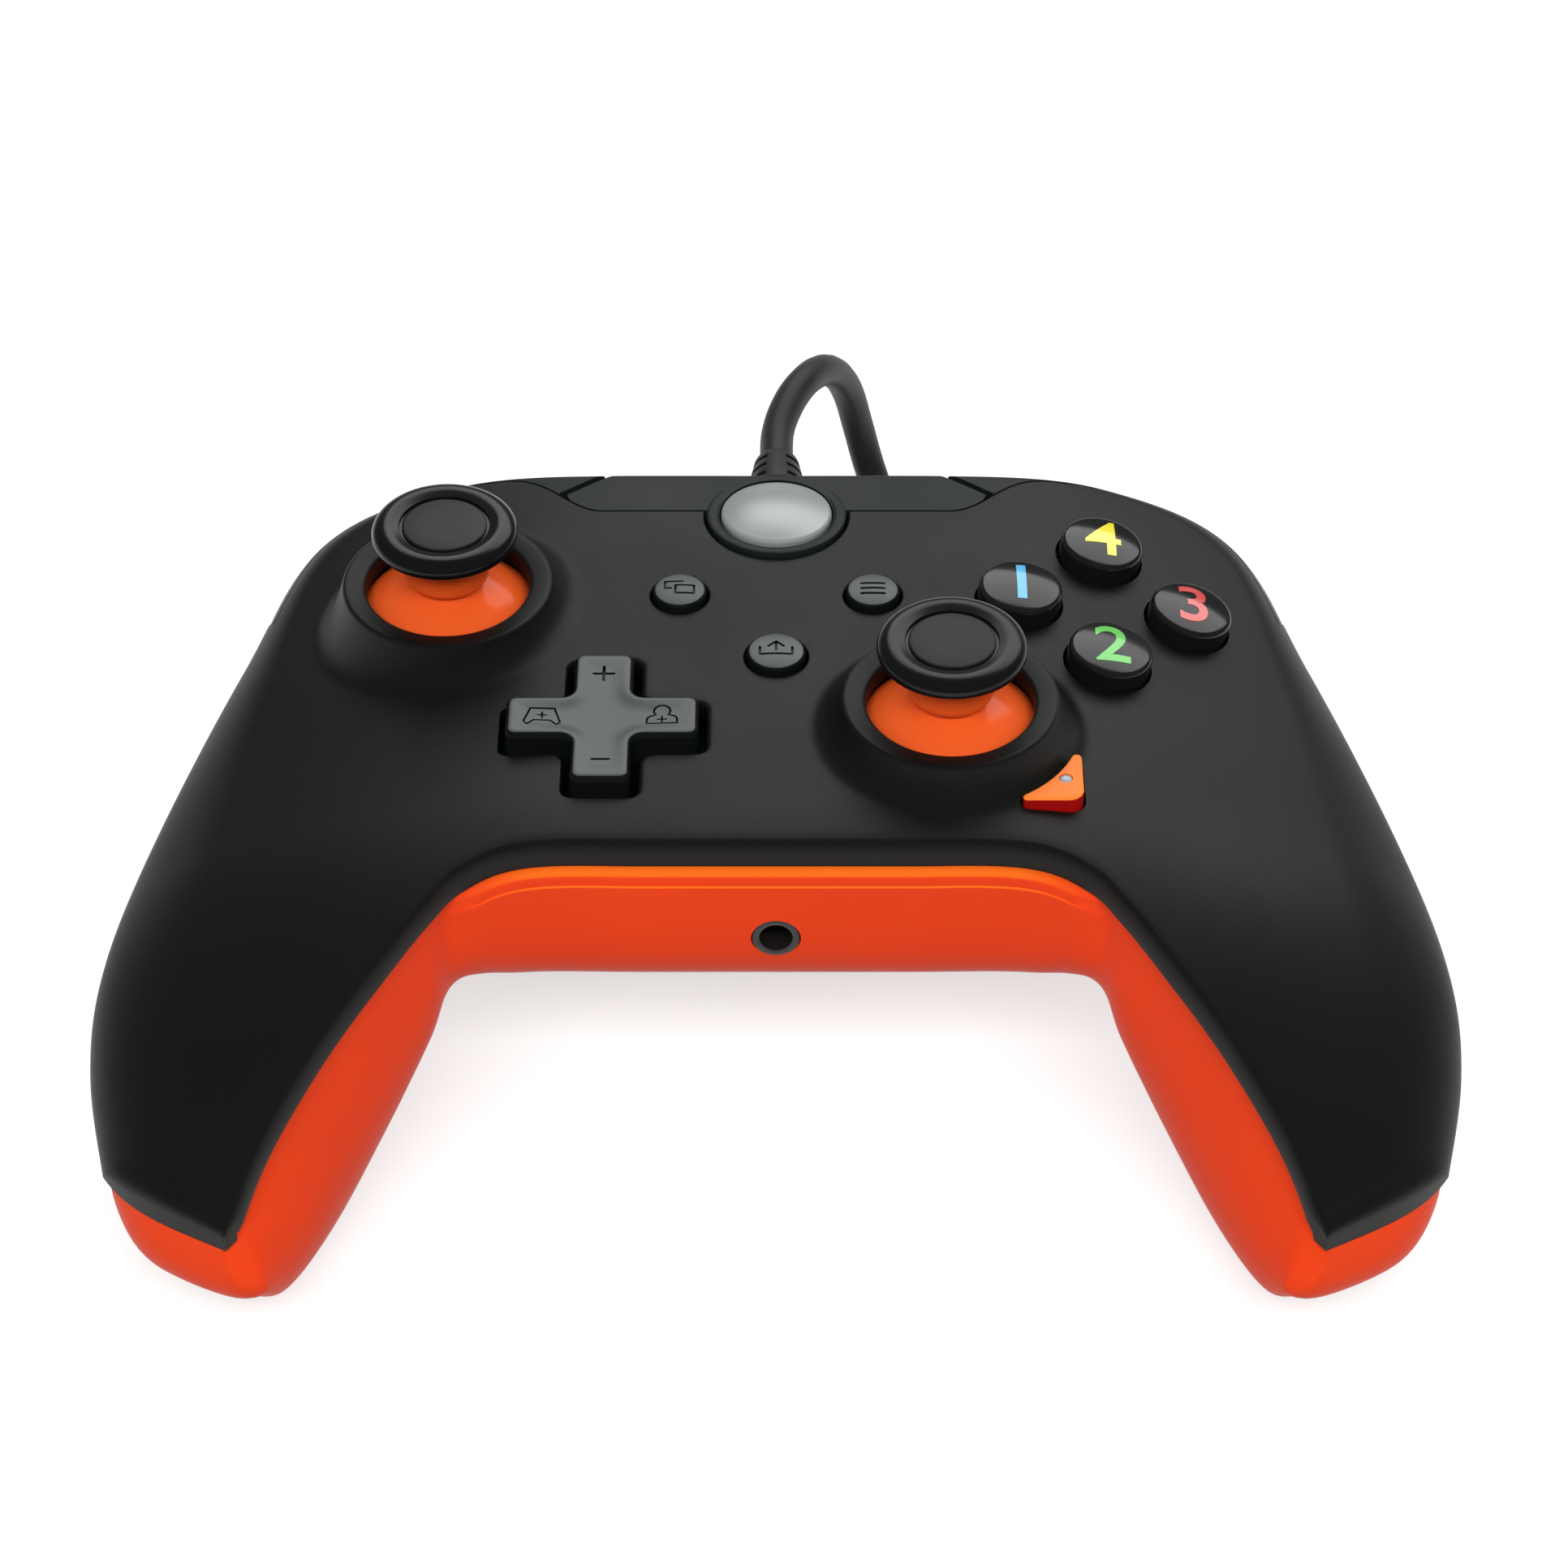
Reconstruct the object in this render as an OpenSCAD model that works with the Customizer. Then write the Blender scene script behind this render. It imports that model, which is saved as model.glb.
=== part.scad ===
// Wired gamepad lying on a table, seen from its front edge.
// Millimetres, +Z up, +Y toward the cord, X along the width.

/* [Housing] */
// Overall width over the grips
body_w = 155; // [150:1:160]
// Rear edge of the face, from the middle of the part
rear_y = 51.5; // [50:0.5:53]
// Front wall between the grips, from the middle of the part
front_y = 19.5; // [18:0.5:21]
// Half the straight length of the front wall
front_half = 32; // [30:0.5:34]
// Side position of the rear shoulders
shoulder_x = 56.5; // [55.5:0.5:58]
// How far the grip tips reach in front of the middle
grip_reach = 57.5; // [55:0.5:60]
// Height of the face above the table
face_h = 46; // [45:0.5:48]
// Depth of the belly below the face
belly_d = 25.6; // [25:0.2:27]
// Wall of the two shells
wall = 2.2; // [1.8:0.1:2.6]
// Height of the dark lip along the inner edge of the face
lip_h = 3; // [2.4:0.1:3.6]
// Step from the face plate in to the rear shell
step_in = 1; // [0.6:0.1:1.4]
// How far the rounded ledge along the front wall stands out past the face plate
ledge_out = 1; // [0.8:0.1:1.2]
// Seam between the two shells
seam = 0.2; // [0.15:0.05:0.4]
// Gap round the parts let into the face
panel_gap = 0.3; // [0.2:0.05:0.4]

/* [Sticks] */
// Diameter of the rubber cap
cap_d = 17.2; // [16:0.2:18]
// Height of the cap's top above the face
cap_top = 13.2; // [12.6:0.2:14]
// Diameter of the well opening
well_d = 19.4; // [19:0.1:20]
// Diameter of the ring round a well
ring_d = 24.7; // [24:0.1:25.4]
// Height of the ring above the face
ring_h = 4.2; // [3.8:0.1:4.6]
// Diameter of the dome under the stem
dome_d = 28.4; // [28:0.1:28.8]
// Diameter of the steel post
post_d = 3; // [2.6:0.1:3.2]
// Side of the stick module's housing
module_w = 13; // [12.6:0.1:13.4]

/* [Buttons] */
// Diameter of the four face buttons
face_d = 10; // [9:0.1:10.6]
// Distance of a face button from the middle of the four
face_pitch = 10.1; // [9.6:0.1:11]
// Height of a face button above the face
face_rise = 2.8; // [2.2:0.1:3.2]
// Diameter of the two upper centre buttons
menu_d = 6.4; // [6:0.1:7]
// Diameter of the lower centre button
share_d = 6.9; // [6.4:0.1:7.4]
// Diameter of the home button
home_d = 13.5; // [13:0.1:14]
// Outer diameter of the bezel round the home button
bezel_d = 17; // [16.6:0.1:17.6]
// Span of the direction pad
pad_span = 22.2; // [21:0.2:23]
// Width of a direction pad arm
pad_arm = 6.9; // [6.4:0.1:7.4]
// Gap round the direction pad
pad_gap = 0.9; // [0.8:0.05:1.1]

/* [Triggers] */
// Width of a trigger
trigger_w = 25.5; // [23.5:0.5:26]
// Diameter of a trigger's pin
pin_d = 2.5; // [2.2:0.1:2.8]
// Diameter of a bumper's pivot
bumper_pin_d = 2.2; // [2:0.1:2.4]
// Width of a bumper's top, from the seam to the rear edge
bumper_top = 3.2; // [2.8:0.1:3.6]

/* [Inside] */
// Depth of the board's top below the face
board_d = 14; // [13.8:0.1:14.4]
// Thickness of the board
board_t = 1.6; // [1.2:0.1:2]
// Diameter of the jack's bore
jack_bore = 3.6; // [3.5:0.05:3.7]
// Length of the jack's bore
jack_len = 14; // [13:0.5:15]
// Diameter of a rumble motor
motor_d = 12; // [11:0.5:13]
// Diameter of a rumble weight
weight_d = 14; // [12:0.5:15]
// Diameter of a screw's shank
screw_d = 2.4; // [2.2:0.1:2.6]

/* [Cord] */
// Diameter of the cord
cord_d = 4.2; // [3.8:0.1:4.4]
// Diameter of the strain relief's collar
relief_d = 7.4; // [7:0.1:8]
// Radius of the coil's outer turn
coil_r = 38.5; // [38:0.1:39.5]
// Distance from turn to turn, and from layer to layer
coil_pitch = 4.7; // [4.65:0.05:4.9]

/* [Hidden] */
$fn = 48;
half_w = body_w / 2;
free = 0.06;
flat_half = 18;
side_curve = 0.004;
grip_turn = 12;
grip_curve = 0.0095;
lip_r = 2.2;
ring_flare = 2.8;
bridge_h = 16;
bumper_h = 12;
foot_cut = 0.4;
tip_r = 4;
end_u = 8;

// One row per cross-section from the middle to the grip's end: inner x and y, outer x and y, depth of
// the outer parting line, depth of the bottom, outer edge radius, inner and outer bottom roundness,
// and how far the inner wall swells past the face plate's edge.
stations = [
    [0, -front_y, 0, rear_y, bridge_h, belly_d, 3.5, 5, 4, 0],
    [front_half * 0.5, -front_y, shoulder_x * 0.36, rear_y, bridge_h, belly_d, 3.5, 5, 4, 0],
    [front_half * 0.9, -front_y, shoulder_x * 0.72, rear_y, bumper_h, belly_d, 4, 5, 3.6, 0],
    [front_half + 3.2, -front_y - 2.6, shoulder_x, rear_y - 5.6, bumper_h, belly_d, 7, 4.5, 3.2, -0.6],
    [front_half + 6.8, -front_y - 6.5, shoulder_x + 8.1, rear_y - 27, 13, belly_d + 6.7, 10, 3.6, 2.8, 2.3],
    [half_w - 34, 25.5 - grip_reach, half_w - 5.2, 56.5 - grip_reach, 15.5, face_h - 5, 13, 3.2, 2.6, 2.6],
    [half_w - 27.5, 17.5 - grip_reach, half_w - 0.6, 37.5 - grip_reach, 19, face_h + foot_cut, 14, 3, 2.5, 4],
    [half_w - 22, 9 - grip_reach, half_w, 24.5 - grip_reach, 23.5, face_h - 1, 13, 2.8, 2.4, 5.5],
    [half_w - 18, 2 - grip_reach, half_w - 3, 9.8 - grip_reach, 28.5, face_h - 10.5, 10, 2.6, 2.4, 5.5],
];

// Places on the face
left_drop = 1.8;
stick_l = [-39, 24.2, -left_drop];
stick_r = [20, 0.5, 0];
pad_at = [-20, 0.5];
faces_at = [39, 24.2];
menu_x = 11.5;
menu_y = 24.8;
share_y = 13.3;
home_y = 40.5;

// Rear seam of the face plate: straight behind the home button, then a soft S up to the bumpers
bridge_y = 41.1;
seam_x = [21, 33.6];
seam_pull = [4.5, 6.1];
slit_from = [26.1, 44.75];
slit_to = [20.7, 48.4];
slit_half = 0.3;

// Function key: a three-cornered outline whose long side runs round the right stick's ring
key_r = 15;
key_top = 1.7;
key_travel = 0.7;
tip_round = 0.5;
horn_round = 0.6;
heel_round = 1.8;
heel_at = [stick_r[0] + 13.1, stick_r[1] - 11.7];
tip_a = asin((heel_at[1] - heel_round + tip_round - stick_r[1]) / (key_r + tip_round));
horn_a = -acos((heel_at[0] + heel_round - horn_round - stick_r[0]) / (key_r + horn_round));
led_at = [stick_r[0] + 12.9, stick_r[1] - 9.9];
led_d = 1.4;

// Stick mechanism, measured from its pivot
pivot_z = face_h - 9;
board_z = face_h - board_d;
board_x = shoulder_x - 4.8;

// Trigger and bumper
trigger_x = 22.8;
trigger_y = rear_y - 8.5;
trigger_z = face_h - 15;
lug_t = 1.8;
lug_low = 2.2;
bumper_x = 26.2;
bumper_z = face_h - 7.4;
bumper_low = face_h - 9.6;
bumper_end = 3.66;

// Cord
cord_r = cord_d / 2;
cord_z = face_h - 9;
relief_end = 62.5;
coil_at = [-14, 50];
coil_in = 4.6;
coil_out = 4.4;
coil_z = cord_r + 0.05;
coil_start = coil_at + [coil_r, cord_d];
coil_rout = coil_r - coil_pitch * (coil_in - coil_out);
coil_stop = coil_at + [-coil_rout, cord_d];
plug_x = -31;
plug_y = 75.5;
plug_h = 8;
plug_z = coil_z + coil_pitch + cord_r + 0.45 + plug_h / 2;
cord_route = [
    [0, 42, cord_z], [0, 52, cord_z], [0, 61, cord_z], [0.1, 69, cord_z], [1.5, 75, cord_z + 0.4],
    [3.6, 80, cord_z + 0.3], [5.9, 85, cord_z - 1.6], [7.9, 89.5, cord_z - 5.6], [9.5, 92.5, cord_z - 10.8],
    [10.9, 93.3, cord_z - 17], [12.5, 91.5, 14.5], [15, 87, 9.3], [18, 81, 5.2], [21, 74.5, 3],
    [23.6, 67, 2.3], [coil_start[0], 60, coil_z], [coil_start[0], 57, coil_z],
    [coil_start[0], coil_start[1], coil_z],
];
tail_route = [
    [coil_stop[0], coil_stop[1], coil_z + coil_pitch], [coil_stop[0], 56.5, coil_z + coil_pitch],
    [coil_stop[0], 59, coil_z + coil_pitch], [coil_stop[0] + 1.6, 66, coil_z + coil_pitch + 1.4],
    [coil_stop[0] + 6.2, 72, plug_z - 2.4],
    [coil_stop[0] + 13.1, 75, plug_z - 0.7], [plug_x, plug_y, plug_z],
];

function lerp(a, b, t) = a + (b - a) * t;

function spline(a, b, c, d, t) =
    b + 0.5 * t * ((c - a) + t * ((2 * a - 5 * b + 4 * c - d) + t * (3 * b - a - 3 * c + d)));

function bez(a, b, c, d, t) =
    a * pow(1 - t, 3) + 3 * b * t * pow(1 - t, 2) + 3 * c * t * t * (1 - t) + d * pow(t, 3);

function mirror_row(r) = [for (i = [0 : len(r) - 1]) i == 0 || i == 2 ? -r[i] : r[i]];

function station(i) =
    i < 0 ? mirror_row(stations[-i])
    : i > end_u ? 2 * stations[end_u] - stations[end_u - 1]
    : stations[i];

function row_at(u) =
    let (i = min(floor(u), end_u - 1))
    spline(station(i - 1), station(i), station(i + 1), station(i + 2), u - i);

function row(u) = u < 0 ? mirror_row(row_at(-u)) : row_at(u);

function face_z(x, y) =
    face_h - side_curve * pow(max(0, abs(x) - flat_half), 2) - grip_curve * pow(max(0, -grip_turn - y), 2);

function face_tilt(x) = sign(x) * atan(2 * side_curve * max(0, abs(x) - flat_half));

function outer_pt(u, inset) =
    let (r = row(u), p = [r[0], r[1]], q = [r[2], r[3]])
    q - inset * (q - p) / norm(q - p);

arc_in = 0.22;
arc_out = 0.64;

function top_pt(u, tau, inset) =
    let (
        r = row(u), p = [r[0], r[1]], q = [r[2], r[3]], len = norm(q - p), dir = (q - p) / len,
        ri = max(0.6, lip_r - inset * 0.6), ro = max(1, r[6] - inset),
        a = 90 * min(1, tau / arc_in), b = 90 * min(1, (1 - tau) / (1 - arc_out)),
        mid = (tau - arc_in) / (arc_out - arc_in),
        s = tau < arc_in ? inset + ri * (1 - cos(a))
            : tau > arc_out ? len - inset - ro * (1 - cos(b))
            : lerp(inset + ri, len - inset - ro, mid),
        xy = p + dir * s, f = face_z(xy[0], xy[1]) - inset,
        zi = face_z(p[0], p[1]) - lip_h, zo = face_h - r[4],
        z = tau < arc_in ? zi + (f - zi) * sin(a) : tau > arc_out ? zo + (f - zo) * sin(b) : f
    )
    [xy[0], xy[1], z];

function smooth(t) = let (c = max(0, min(1, t))) c * c * (3 - 2 * c);

// All of the ledge along the front wall, none of it on the grips
function ledge_share(u) = 1 - smooth(abs(u) - ledge_fade);

// Rounded lower side of the housing; phi runs from the inner edge to the outer one, and out moves the
// inner edge past the face plate's.
function low_pt(u, phi, inset, out) =
    let (
        r = row(u), p = [r[0], r[1]], q = [r[2], r[3]], len = norm(q - p), dir = (q - p) / len,
        c = cos(phi), n = c > 0 ? r[7] : r[8], t = 0.5 - 0.5 * sign(c) * pow(abs(c), 2 / n),
        xy = p + dir * (lerp(-out, len - inset, t) - (c > 0 ? r[9] * sin(2 * phi) : 0)),
        zi = face_z(p[0], p[1]) - lip_h, zo = face_h - r[4], base = lerp(zi, zo, t) - seam,
        low = face_h - r[5] + inset - step_in
    )
    [xy[0], xy[1], base - (base - low) * pow(sin(phi), 2 / n)];

top_n = 14;
low_n = 14;

// Ledge under the face plate's lip: how far each line of it stands out, and its drop below the seam
ledge_fade = 2.6;
wall_out = ledge_out + 0.2;
ledge = [
    [0, 0], [0.72 * ledge_out, 0.29], [ledge_out, 1], [ledge_out, 1.95], [wall_out, 2.1], [wall_out, 2.6],
];

function ledge_phi(u, drop) =
    let (r = row(u), h = face_z(r[0], r[1]) - lip_h - seam - face_h + r[5])
    asin(pow(drop / h, r[7] / 2));

function top_row(u, inset) = [for (j = [0 : top_n]) top_pt(u, j / top_n, inset)];

function low_row(u) =
    let (
        share = ledge_share(u), first = ledge_phi(u, ledge[len(ledge) - 1][1]),
        out = lerp(-step_in, wall_out, share)
    )
    concat(
        [for (l = ledge) low_pt(u, ledge_phi(u, l[1]), step_in, lerp(-step_in, l[0], share))],
        [for (j = [1 : low_n]) low_pt(u, lerp(first, 180, j / low_n), step_in, out)]
    );

function inner_row(u) =
    let (n = low_n + len(ledge) - 1, out = lerp(-step_in, wall_out, ledge_share(u)) - wall)
    [for (j = [0 : n]) low_pt(u, 180 * j / n, step_in + wall, out)];

function tip_mid(u) =
    let (r = row(u), x = (r[0] + r[2]) / 2, y = (r[1] + r[3]) / 2)
    [x, y, (face_z(x, y) + face_h - r[5]) / 2];

function tip_row(pts, u, a) =
    let (m = tip_mid(u), back = tip_mid(u - sign(u)), d = [m[0] - back[0], m[1] - back[1], 0])
    [for (p = pts) m + (p - m) * cos(a) + d / norm(d) * tip_r * sin(a)];

function steps(a, b, n) = [for (i = [0 : n]) lerp(a, b, i / n)];

function cell(k, j, cols) = [k * cols + j, k * cols + j + 1, (k + 1) * cols + j + 1, (k + 1) * cols + j];

// Closed solid between two grids of points; a is the outer grid.
module skin(a, b, flip = false) {
    rows = len(a);
    cols = len(a[0]);
    pts = concat([for (r = a) each r], [for (r = b) each r]);
    back = rows * cols;
    quads = concat(
        [for (k = [0 : rows - 2], j = [0 : cols - 2]) cell(k, j, cols)],
        [for (k = [0 : rows - 2], j = [0 : cols - 2]) let (c = cell(k, j, cols))
            [back + c[0], back + c[3], back + c[2], back + c[1]]],
        [for (k = [0 : rows - 2])
            [k * cols, (k + 1) * cols, back + (k + 1) * cols, back + k * cols]],
        [for (k = [0 : rows - 2])
            [(k + 2) * cols - 1, (k + 1) * cols - 1, back + (k + 1) * cols - 1, back + (k + 2) * cols - 1]],
        [for (j = [0 : cols - 2]) [j + 1, j, back + j, back + j + 1]],
        [for (j = [0 : cols - 2])
            [back - cols + j, back - cols + j + 1, 2 * back - cols + j + 1, 2 * back - cols + j]]
    );
    tris = [for (q = quads) each [[q[0], q[1], q[2]], [q[0], q[2], q[3]]]];
    polyhedron(points = pts, faces = flip ? [for (t = tris) [t[2], t[1], t[0]]] : tris, convexity = 10);
}

module face_skin(u0, u1, n) {
    us = steps(u0, u1, n);
    skin([for (u = us) top_row(u, 0)], [for (u = us) top_row(u, wall)]);
}

tip_angles = [18, 36, 54, 70, 83];

module rear_skin() {
    us = steps(-end_u, end_u, 48);
    e = end_u + 0.03;
    n = low_n + len(ledge) - 1;
    left_low = low_row(-e);
    right_low = low_row(e);
    left_top = [for (j = [0 : n]) top_pt(-e, lerp(0.06, 0.94, j / n), step_in)];
    right_top = [for (j = [0 : n]) top_pt(e, lerp(0.06, 0.94, j / n), step_in)];
    a = concat(
        [for (i = [len(tip_angles) - 1 : -1 : 0]) tip_row(left_low, -e, tip_angles[i])],
        [left_low],
        [for (u = us) low_row(u)],
        [right_low],
        [for (t = tip_angles) tip_row(right_low, e, t)]
    );
    b = concat(
        [for (i = [len(tip_angles) - 1 : -1 : 0]) tip_row(left_top, -e, tip_angles[i])],
        [left_top],
        [for (u = us) inner_row(u)],
        [right_top],
        [for (t = tip_angles) tip_row(right_top, e, t)]
    );
    skin(a, b, true);
}

module both() {
    children();
    mirror([1, 0, 0]) children();
}

module on_face(x, y) {
    translate([x, y, face_z(x, y)]) rotate([0, face_tilt(x), 0]) children();
}

// Plan lines of the rear seam, right half: the soft S, and the line along a bumper
function s_curve(g) =
    let (a = [seam_x[0] - 0.4 * g, bridge_y + g], d = [seam_x[1], rear_y - bumper_top + g])
    [for (i = [0 : 8]) bez(a, a + [seam_pull[0], 0], d - [seam_pull[1] + 0.4 * g, 0], d, i / 8)];

function bumper_line(inset) = [for (u = steps(2, bumper_end, 8)) outer_pt(u, inset)];

module rear_zone() {
    pts = concat(
        [[0, bridge_y]],
        s_curve(0),
        bumper_line(bumper_top),
        [outer_pt(bumper_end, -6), [half_w, rear_y + 20], [0, rear_y + 20]]
    );
    translate([0, 0, face_h - 20]) both() linear_extrude(40) polygon(pts);
}

module bridge_zone() {
    x = slit_to[0] - slit_half;
    pts = concat(
        [[-0.01, bridge_y + panel_gap]],
        [for (p = s_curve(panel_gap)) if (p[0] < slit_from[0] - slit_half) p],
        [slit_from - [slit_half, 0], [x, slit_to[1]], [x, rear_y + 10], [-0.01, rear_y + 10]]
    );
    both() linear_extrude(40) polygon(pts);
}

module bumper_zone() {
    x = slit_to[0] + slit_half;
    pts = concat(
        [[x, rear_y + 10], [x, slit_to[1] + slit_half], slit_from + [slit_half, slit_half]],
        [for (p = s_curve(panel_gap)) if (p[0] > slit_from[0] + slit_half) p],
        bumper_line(bumper_top - panel_gap),
        [outer_pt(bumper_end, -5), [half_w - 8, rear_y + 10]]
    );
    linear_extrude(40) polygon(pts);
}

function cross_pts(h, a, rf, rc) = [
    for (q = [0 : 3]) each [
        for (p = concat(
            [for (i = [0 : 4]) [h - rc + rc * cos(22.5 * i), a - rc + rc * sin(22.5 * i)]],
            [for (i = [0 : 4]) [a + rf + rf * cos(270 - 22.5 * i), a + rf + rf * sin(270 - 22.5 * i)]],
            [for (i = [0 : 4]) [a - rc + rc * cos(22.5 * i), h - rc + rc * sin(22.5 * i)]]
        ))
        [p[0] * cos(90 * q) - p[1] * sin(90 * q), p[0] * sin(90 * q) + p[1] * cos(90 * q)]
    ]
];

function round_rect(w, h, r) = [
    for (q = [0 : 3], i = [0 : 5])
    let (sx = q == 0 || q == 3 ? 1 : -1, sy = q < 2 ? 1 : -1)
    [sx * (w / 2 - r) + r * cos(90 * q + 18 * i), sy * (h / 2 - r) + r * sin(90 * q + 18 * i)]
];

function polar(r, a) = r * [cos(a), sin(a)];

function arc_pts(c, r, a, b, n) = [for (t = steps(a, b, n)) c + polar(r, t)];

// Outline of the function key, grown by g
function key_pts(g) =
    let (c = [stick_r[0], stick_r[1]])
    concat(
        arc_pts(heel_at, heel_round + g, -90, 0, 5),
        arc_pts(c + polar(key_r + horn_round, horn_a), horn_round + g, 0, 180 + horn_a, 5),
        [for (i = [1 : 7]) c + polar(key_r - g, lerp(horn_a, tip_a, i / 8))],
        arc_pts(c + polar(key_r + tip_round, tip_a), tip_round + g, 180 + tip_a, 270, 5)
    );

screw_at = [[shoulder_x - 1, rear_y - 38], [half_w - 13, 14 - grip_reach]];
screw_join = [face_h - 22, face_h - 30];
screw_seat = [face_h - 27, face_h - 38];
boss_r = 3;
belly_drop = 2.9;
grip_floor = 4.8;
rib_low = [1.8, 4.2];
head_d = 4.6;
head_h = 2;

function boss_top(i) = face_z(screw_at[i][0] + boss_r, screw_at[i][1] - boss_r) - 0.5;

function low_z(i) = i == 0 ? face_h - belly_d - belly_drop : grip_floor;

// Raised ring round a stick's well: a flat top, sloped a little inward, on a flank that flares out.
module well_ring() {
    r = ring_d / 2;
    rotate_extrude() polygon(concat(
        [[well_d / 2 - 1, -wall], [r + ring_flare + 0.6, -wall]],
        [for (a = [0 : 15 : 90])
            [r + ring_flare * (1 - sin(a)) + 0.2, (ring_h - 0.2) * (1 - cos(a)) - 0.4]],
        [[r, ring_h + 0.1], [r - 0.4, ring_h + 0.4], [r - 0.9, ring_h + 0.4], [well_d / 2 - 1, ring_h - 0.3]]
    ));
}

module front_shell() {
    color("#2f2f30") difference() {
        union() {
            face_skin(-end_u + 0.03, end_u - 0.03, 48);
            both() for (i = [0, 1]) translate([screw_at[i][0], screw_at[i][1], screw_join[i] + seam])
                cylinder(r = boss_r, h = boss_top(i) - screw_join[i] - seam);
            for (p = [stick_l, stick_r]) translate([p[0], p[1], face_h + p[2]]) well_ring();
        }
        rear_zone();
        translate([0, home_y, face_h - 20]) cylinder(d = bezel_d + 2 * panel_gap, h = 40);
        for (p = [stick_l, stick_r]) translate([p[0], p[1], face_h + p[2]]) {
            translate([0, 0, -10]) cylinder(d = well_d, h = 20);
            translate([0, 0, pivot_z - face_h]) sphere(d = dome_d + 0.8);
        }
        translate([pad_at[0], pad_at[1], face_h - 10]) linear_extrude(20)
            polygon(cross_pts(pad_span / 2 + pad_gap, pad_arm / 2 + pad_gap, 1.6, 1.2));
        for (a = [0 : 90 : 270]) let (p = faces_at + face_pitch * [cos(a), sin(a)])
            on_face(p[0], p[1]) translate([0, 0, -10]) cylinder(d = face_d + 2 * panel_gap, h = 20);
        for (s = [-1, 1]) translate([s * menu_x, menu_y, face_h - 10])
            cylinder(d = menu_d + 2 * panel_gap, h = 20);
        translate([0, share_y, face_h - 10]) cylinder(d = share_d + 2 * panel_gap, h = 20);
        translate([0, 0, face_h - 15]) linear_extrude(20) polygon(key_pts(panel_gap));
        both() for (i = [0, 1]) translate([screw_at[i][0], screw_at[i][1], screw_join[i] - 1])
            cylinder(d = screw_d + 0.1, h = 9);
    }
}

module motor_rib(y, low) {
    w = 6;
    cradle = 1.6;
    translate([motor_at[0] - w / 2, motor_at[1] + y, low])
        cube([w, 2, motor_at[2] - motor_d / 2 + cradle - low]);
}

module rear_shell() {
    color("#e44a22") difference() {
        union() {
            rear_skin();
            both() for (i = [0, 1]) translate([screw_at[i][0], screw_at[i][1], low_z(i)])
                cylinder(r = boss_r, h = screw_join[i] - low_z(i));
            both() for (p = [[30, -10], [30, 30]]) translate([p[0], p[1], face_h - belly_d + 1.6])
                cylinder(r = 2.5, h = belly_d - 1.6 - board_d - board_t - 0.1);
            both() motor_rib(3, rib_low[0]);
            both() motor_rib(11, rib_low[1]);
        }
        translate([-half_w, -grip_reach - 5, -5]) cube([body_w, 2 * grip_reach, 5]);
        both() translate([trigger_x - 1, trigger_y - 9, trigger_z - 9]) cube([trigger_w + 2, 40, 40]);
        both() for (i = [0, 1]) translate([screw_at[i][0], screw_at[i][1], -foot_cut]) {
            cylinder(d = head_d + 0.8, h = screw_seat[i] + foot_cut);
            cylinder(d = screw_d + 0.4, h = face_h);
        }
        both() translate(motor_at) rotate([-90, 0, 0])
            cylinder(d = motor_d + 0.2, h = motor_len + 2 * motor_free);
        translate([0, 0, jack_z]) rotate([90, 0, 0]) cylinder(d = nose_d + 2 * panel_gap, h = 40);
    }
}

module center_bridge() {
    h = 1;
    color("#34403a") difference() {
        union() {
            intersection() {
                face_skin(-1.7, 1.7, 14);
                union() {
                    translate([0, 0, face_h - 20]) bridge_zone();
                    translate([0, home_y, face_h - 4]) cylinder(d = bezel_d, h = 8);
                }
            }
            translate([0, home_y, face_h - h]) rotate_extrude() polygon([
                [home_d / 2 + 0.1, 0], [bezel_d / 2, 0],
                [bezel_d / 2 - 0.5, h + 0.6], [home_d / 2 + 0.3, h + 0.3],
            ]);
        }
        translate([0, home_y, face_h - 10]) cylinder(d = home_d + 0.4, h = 20);
        translate([0, rear_y - 10, cord_z]) rotate([-90, 0, 0]) cylinder(d = relief_d - 0.4, h = 20);
    }
}

module bumper() {
    difference() {
        union() {
            intersection() {
                face_skin(1, bumper_end + 0.3, 12);
                translate([0, 0, bumper_low]) bumper_zone();
            }
            translate([bumper_x - 2.2, trigger_y - 0.5, bumper_low]) cube([4.4, rear_y - trigger_y - 1, 4.6]);
        }
        translate([bumper_x, trigger_y - 5, bumper_z]) rotate([-90, 0, 0])
            cylinder(d = bumper_pin_d + 2 * free, h = 9);
    }
}

module left_bumper() {
    color("#2c2d2d") mirror([1, 0, 0]) bumper();
}

module right_bumper() {
    color("#2c2d2d") bumper();
}

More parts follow.
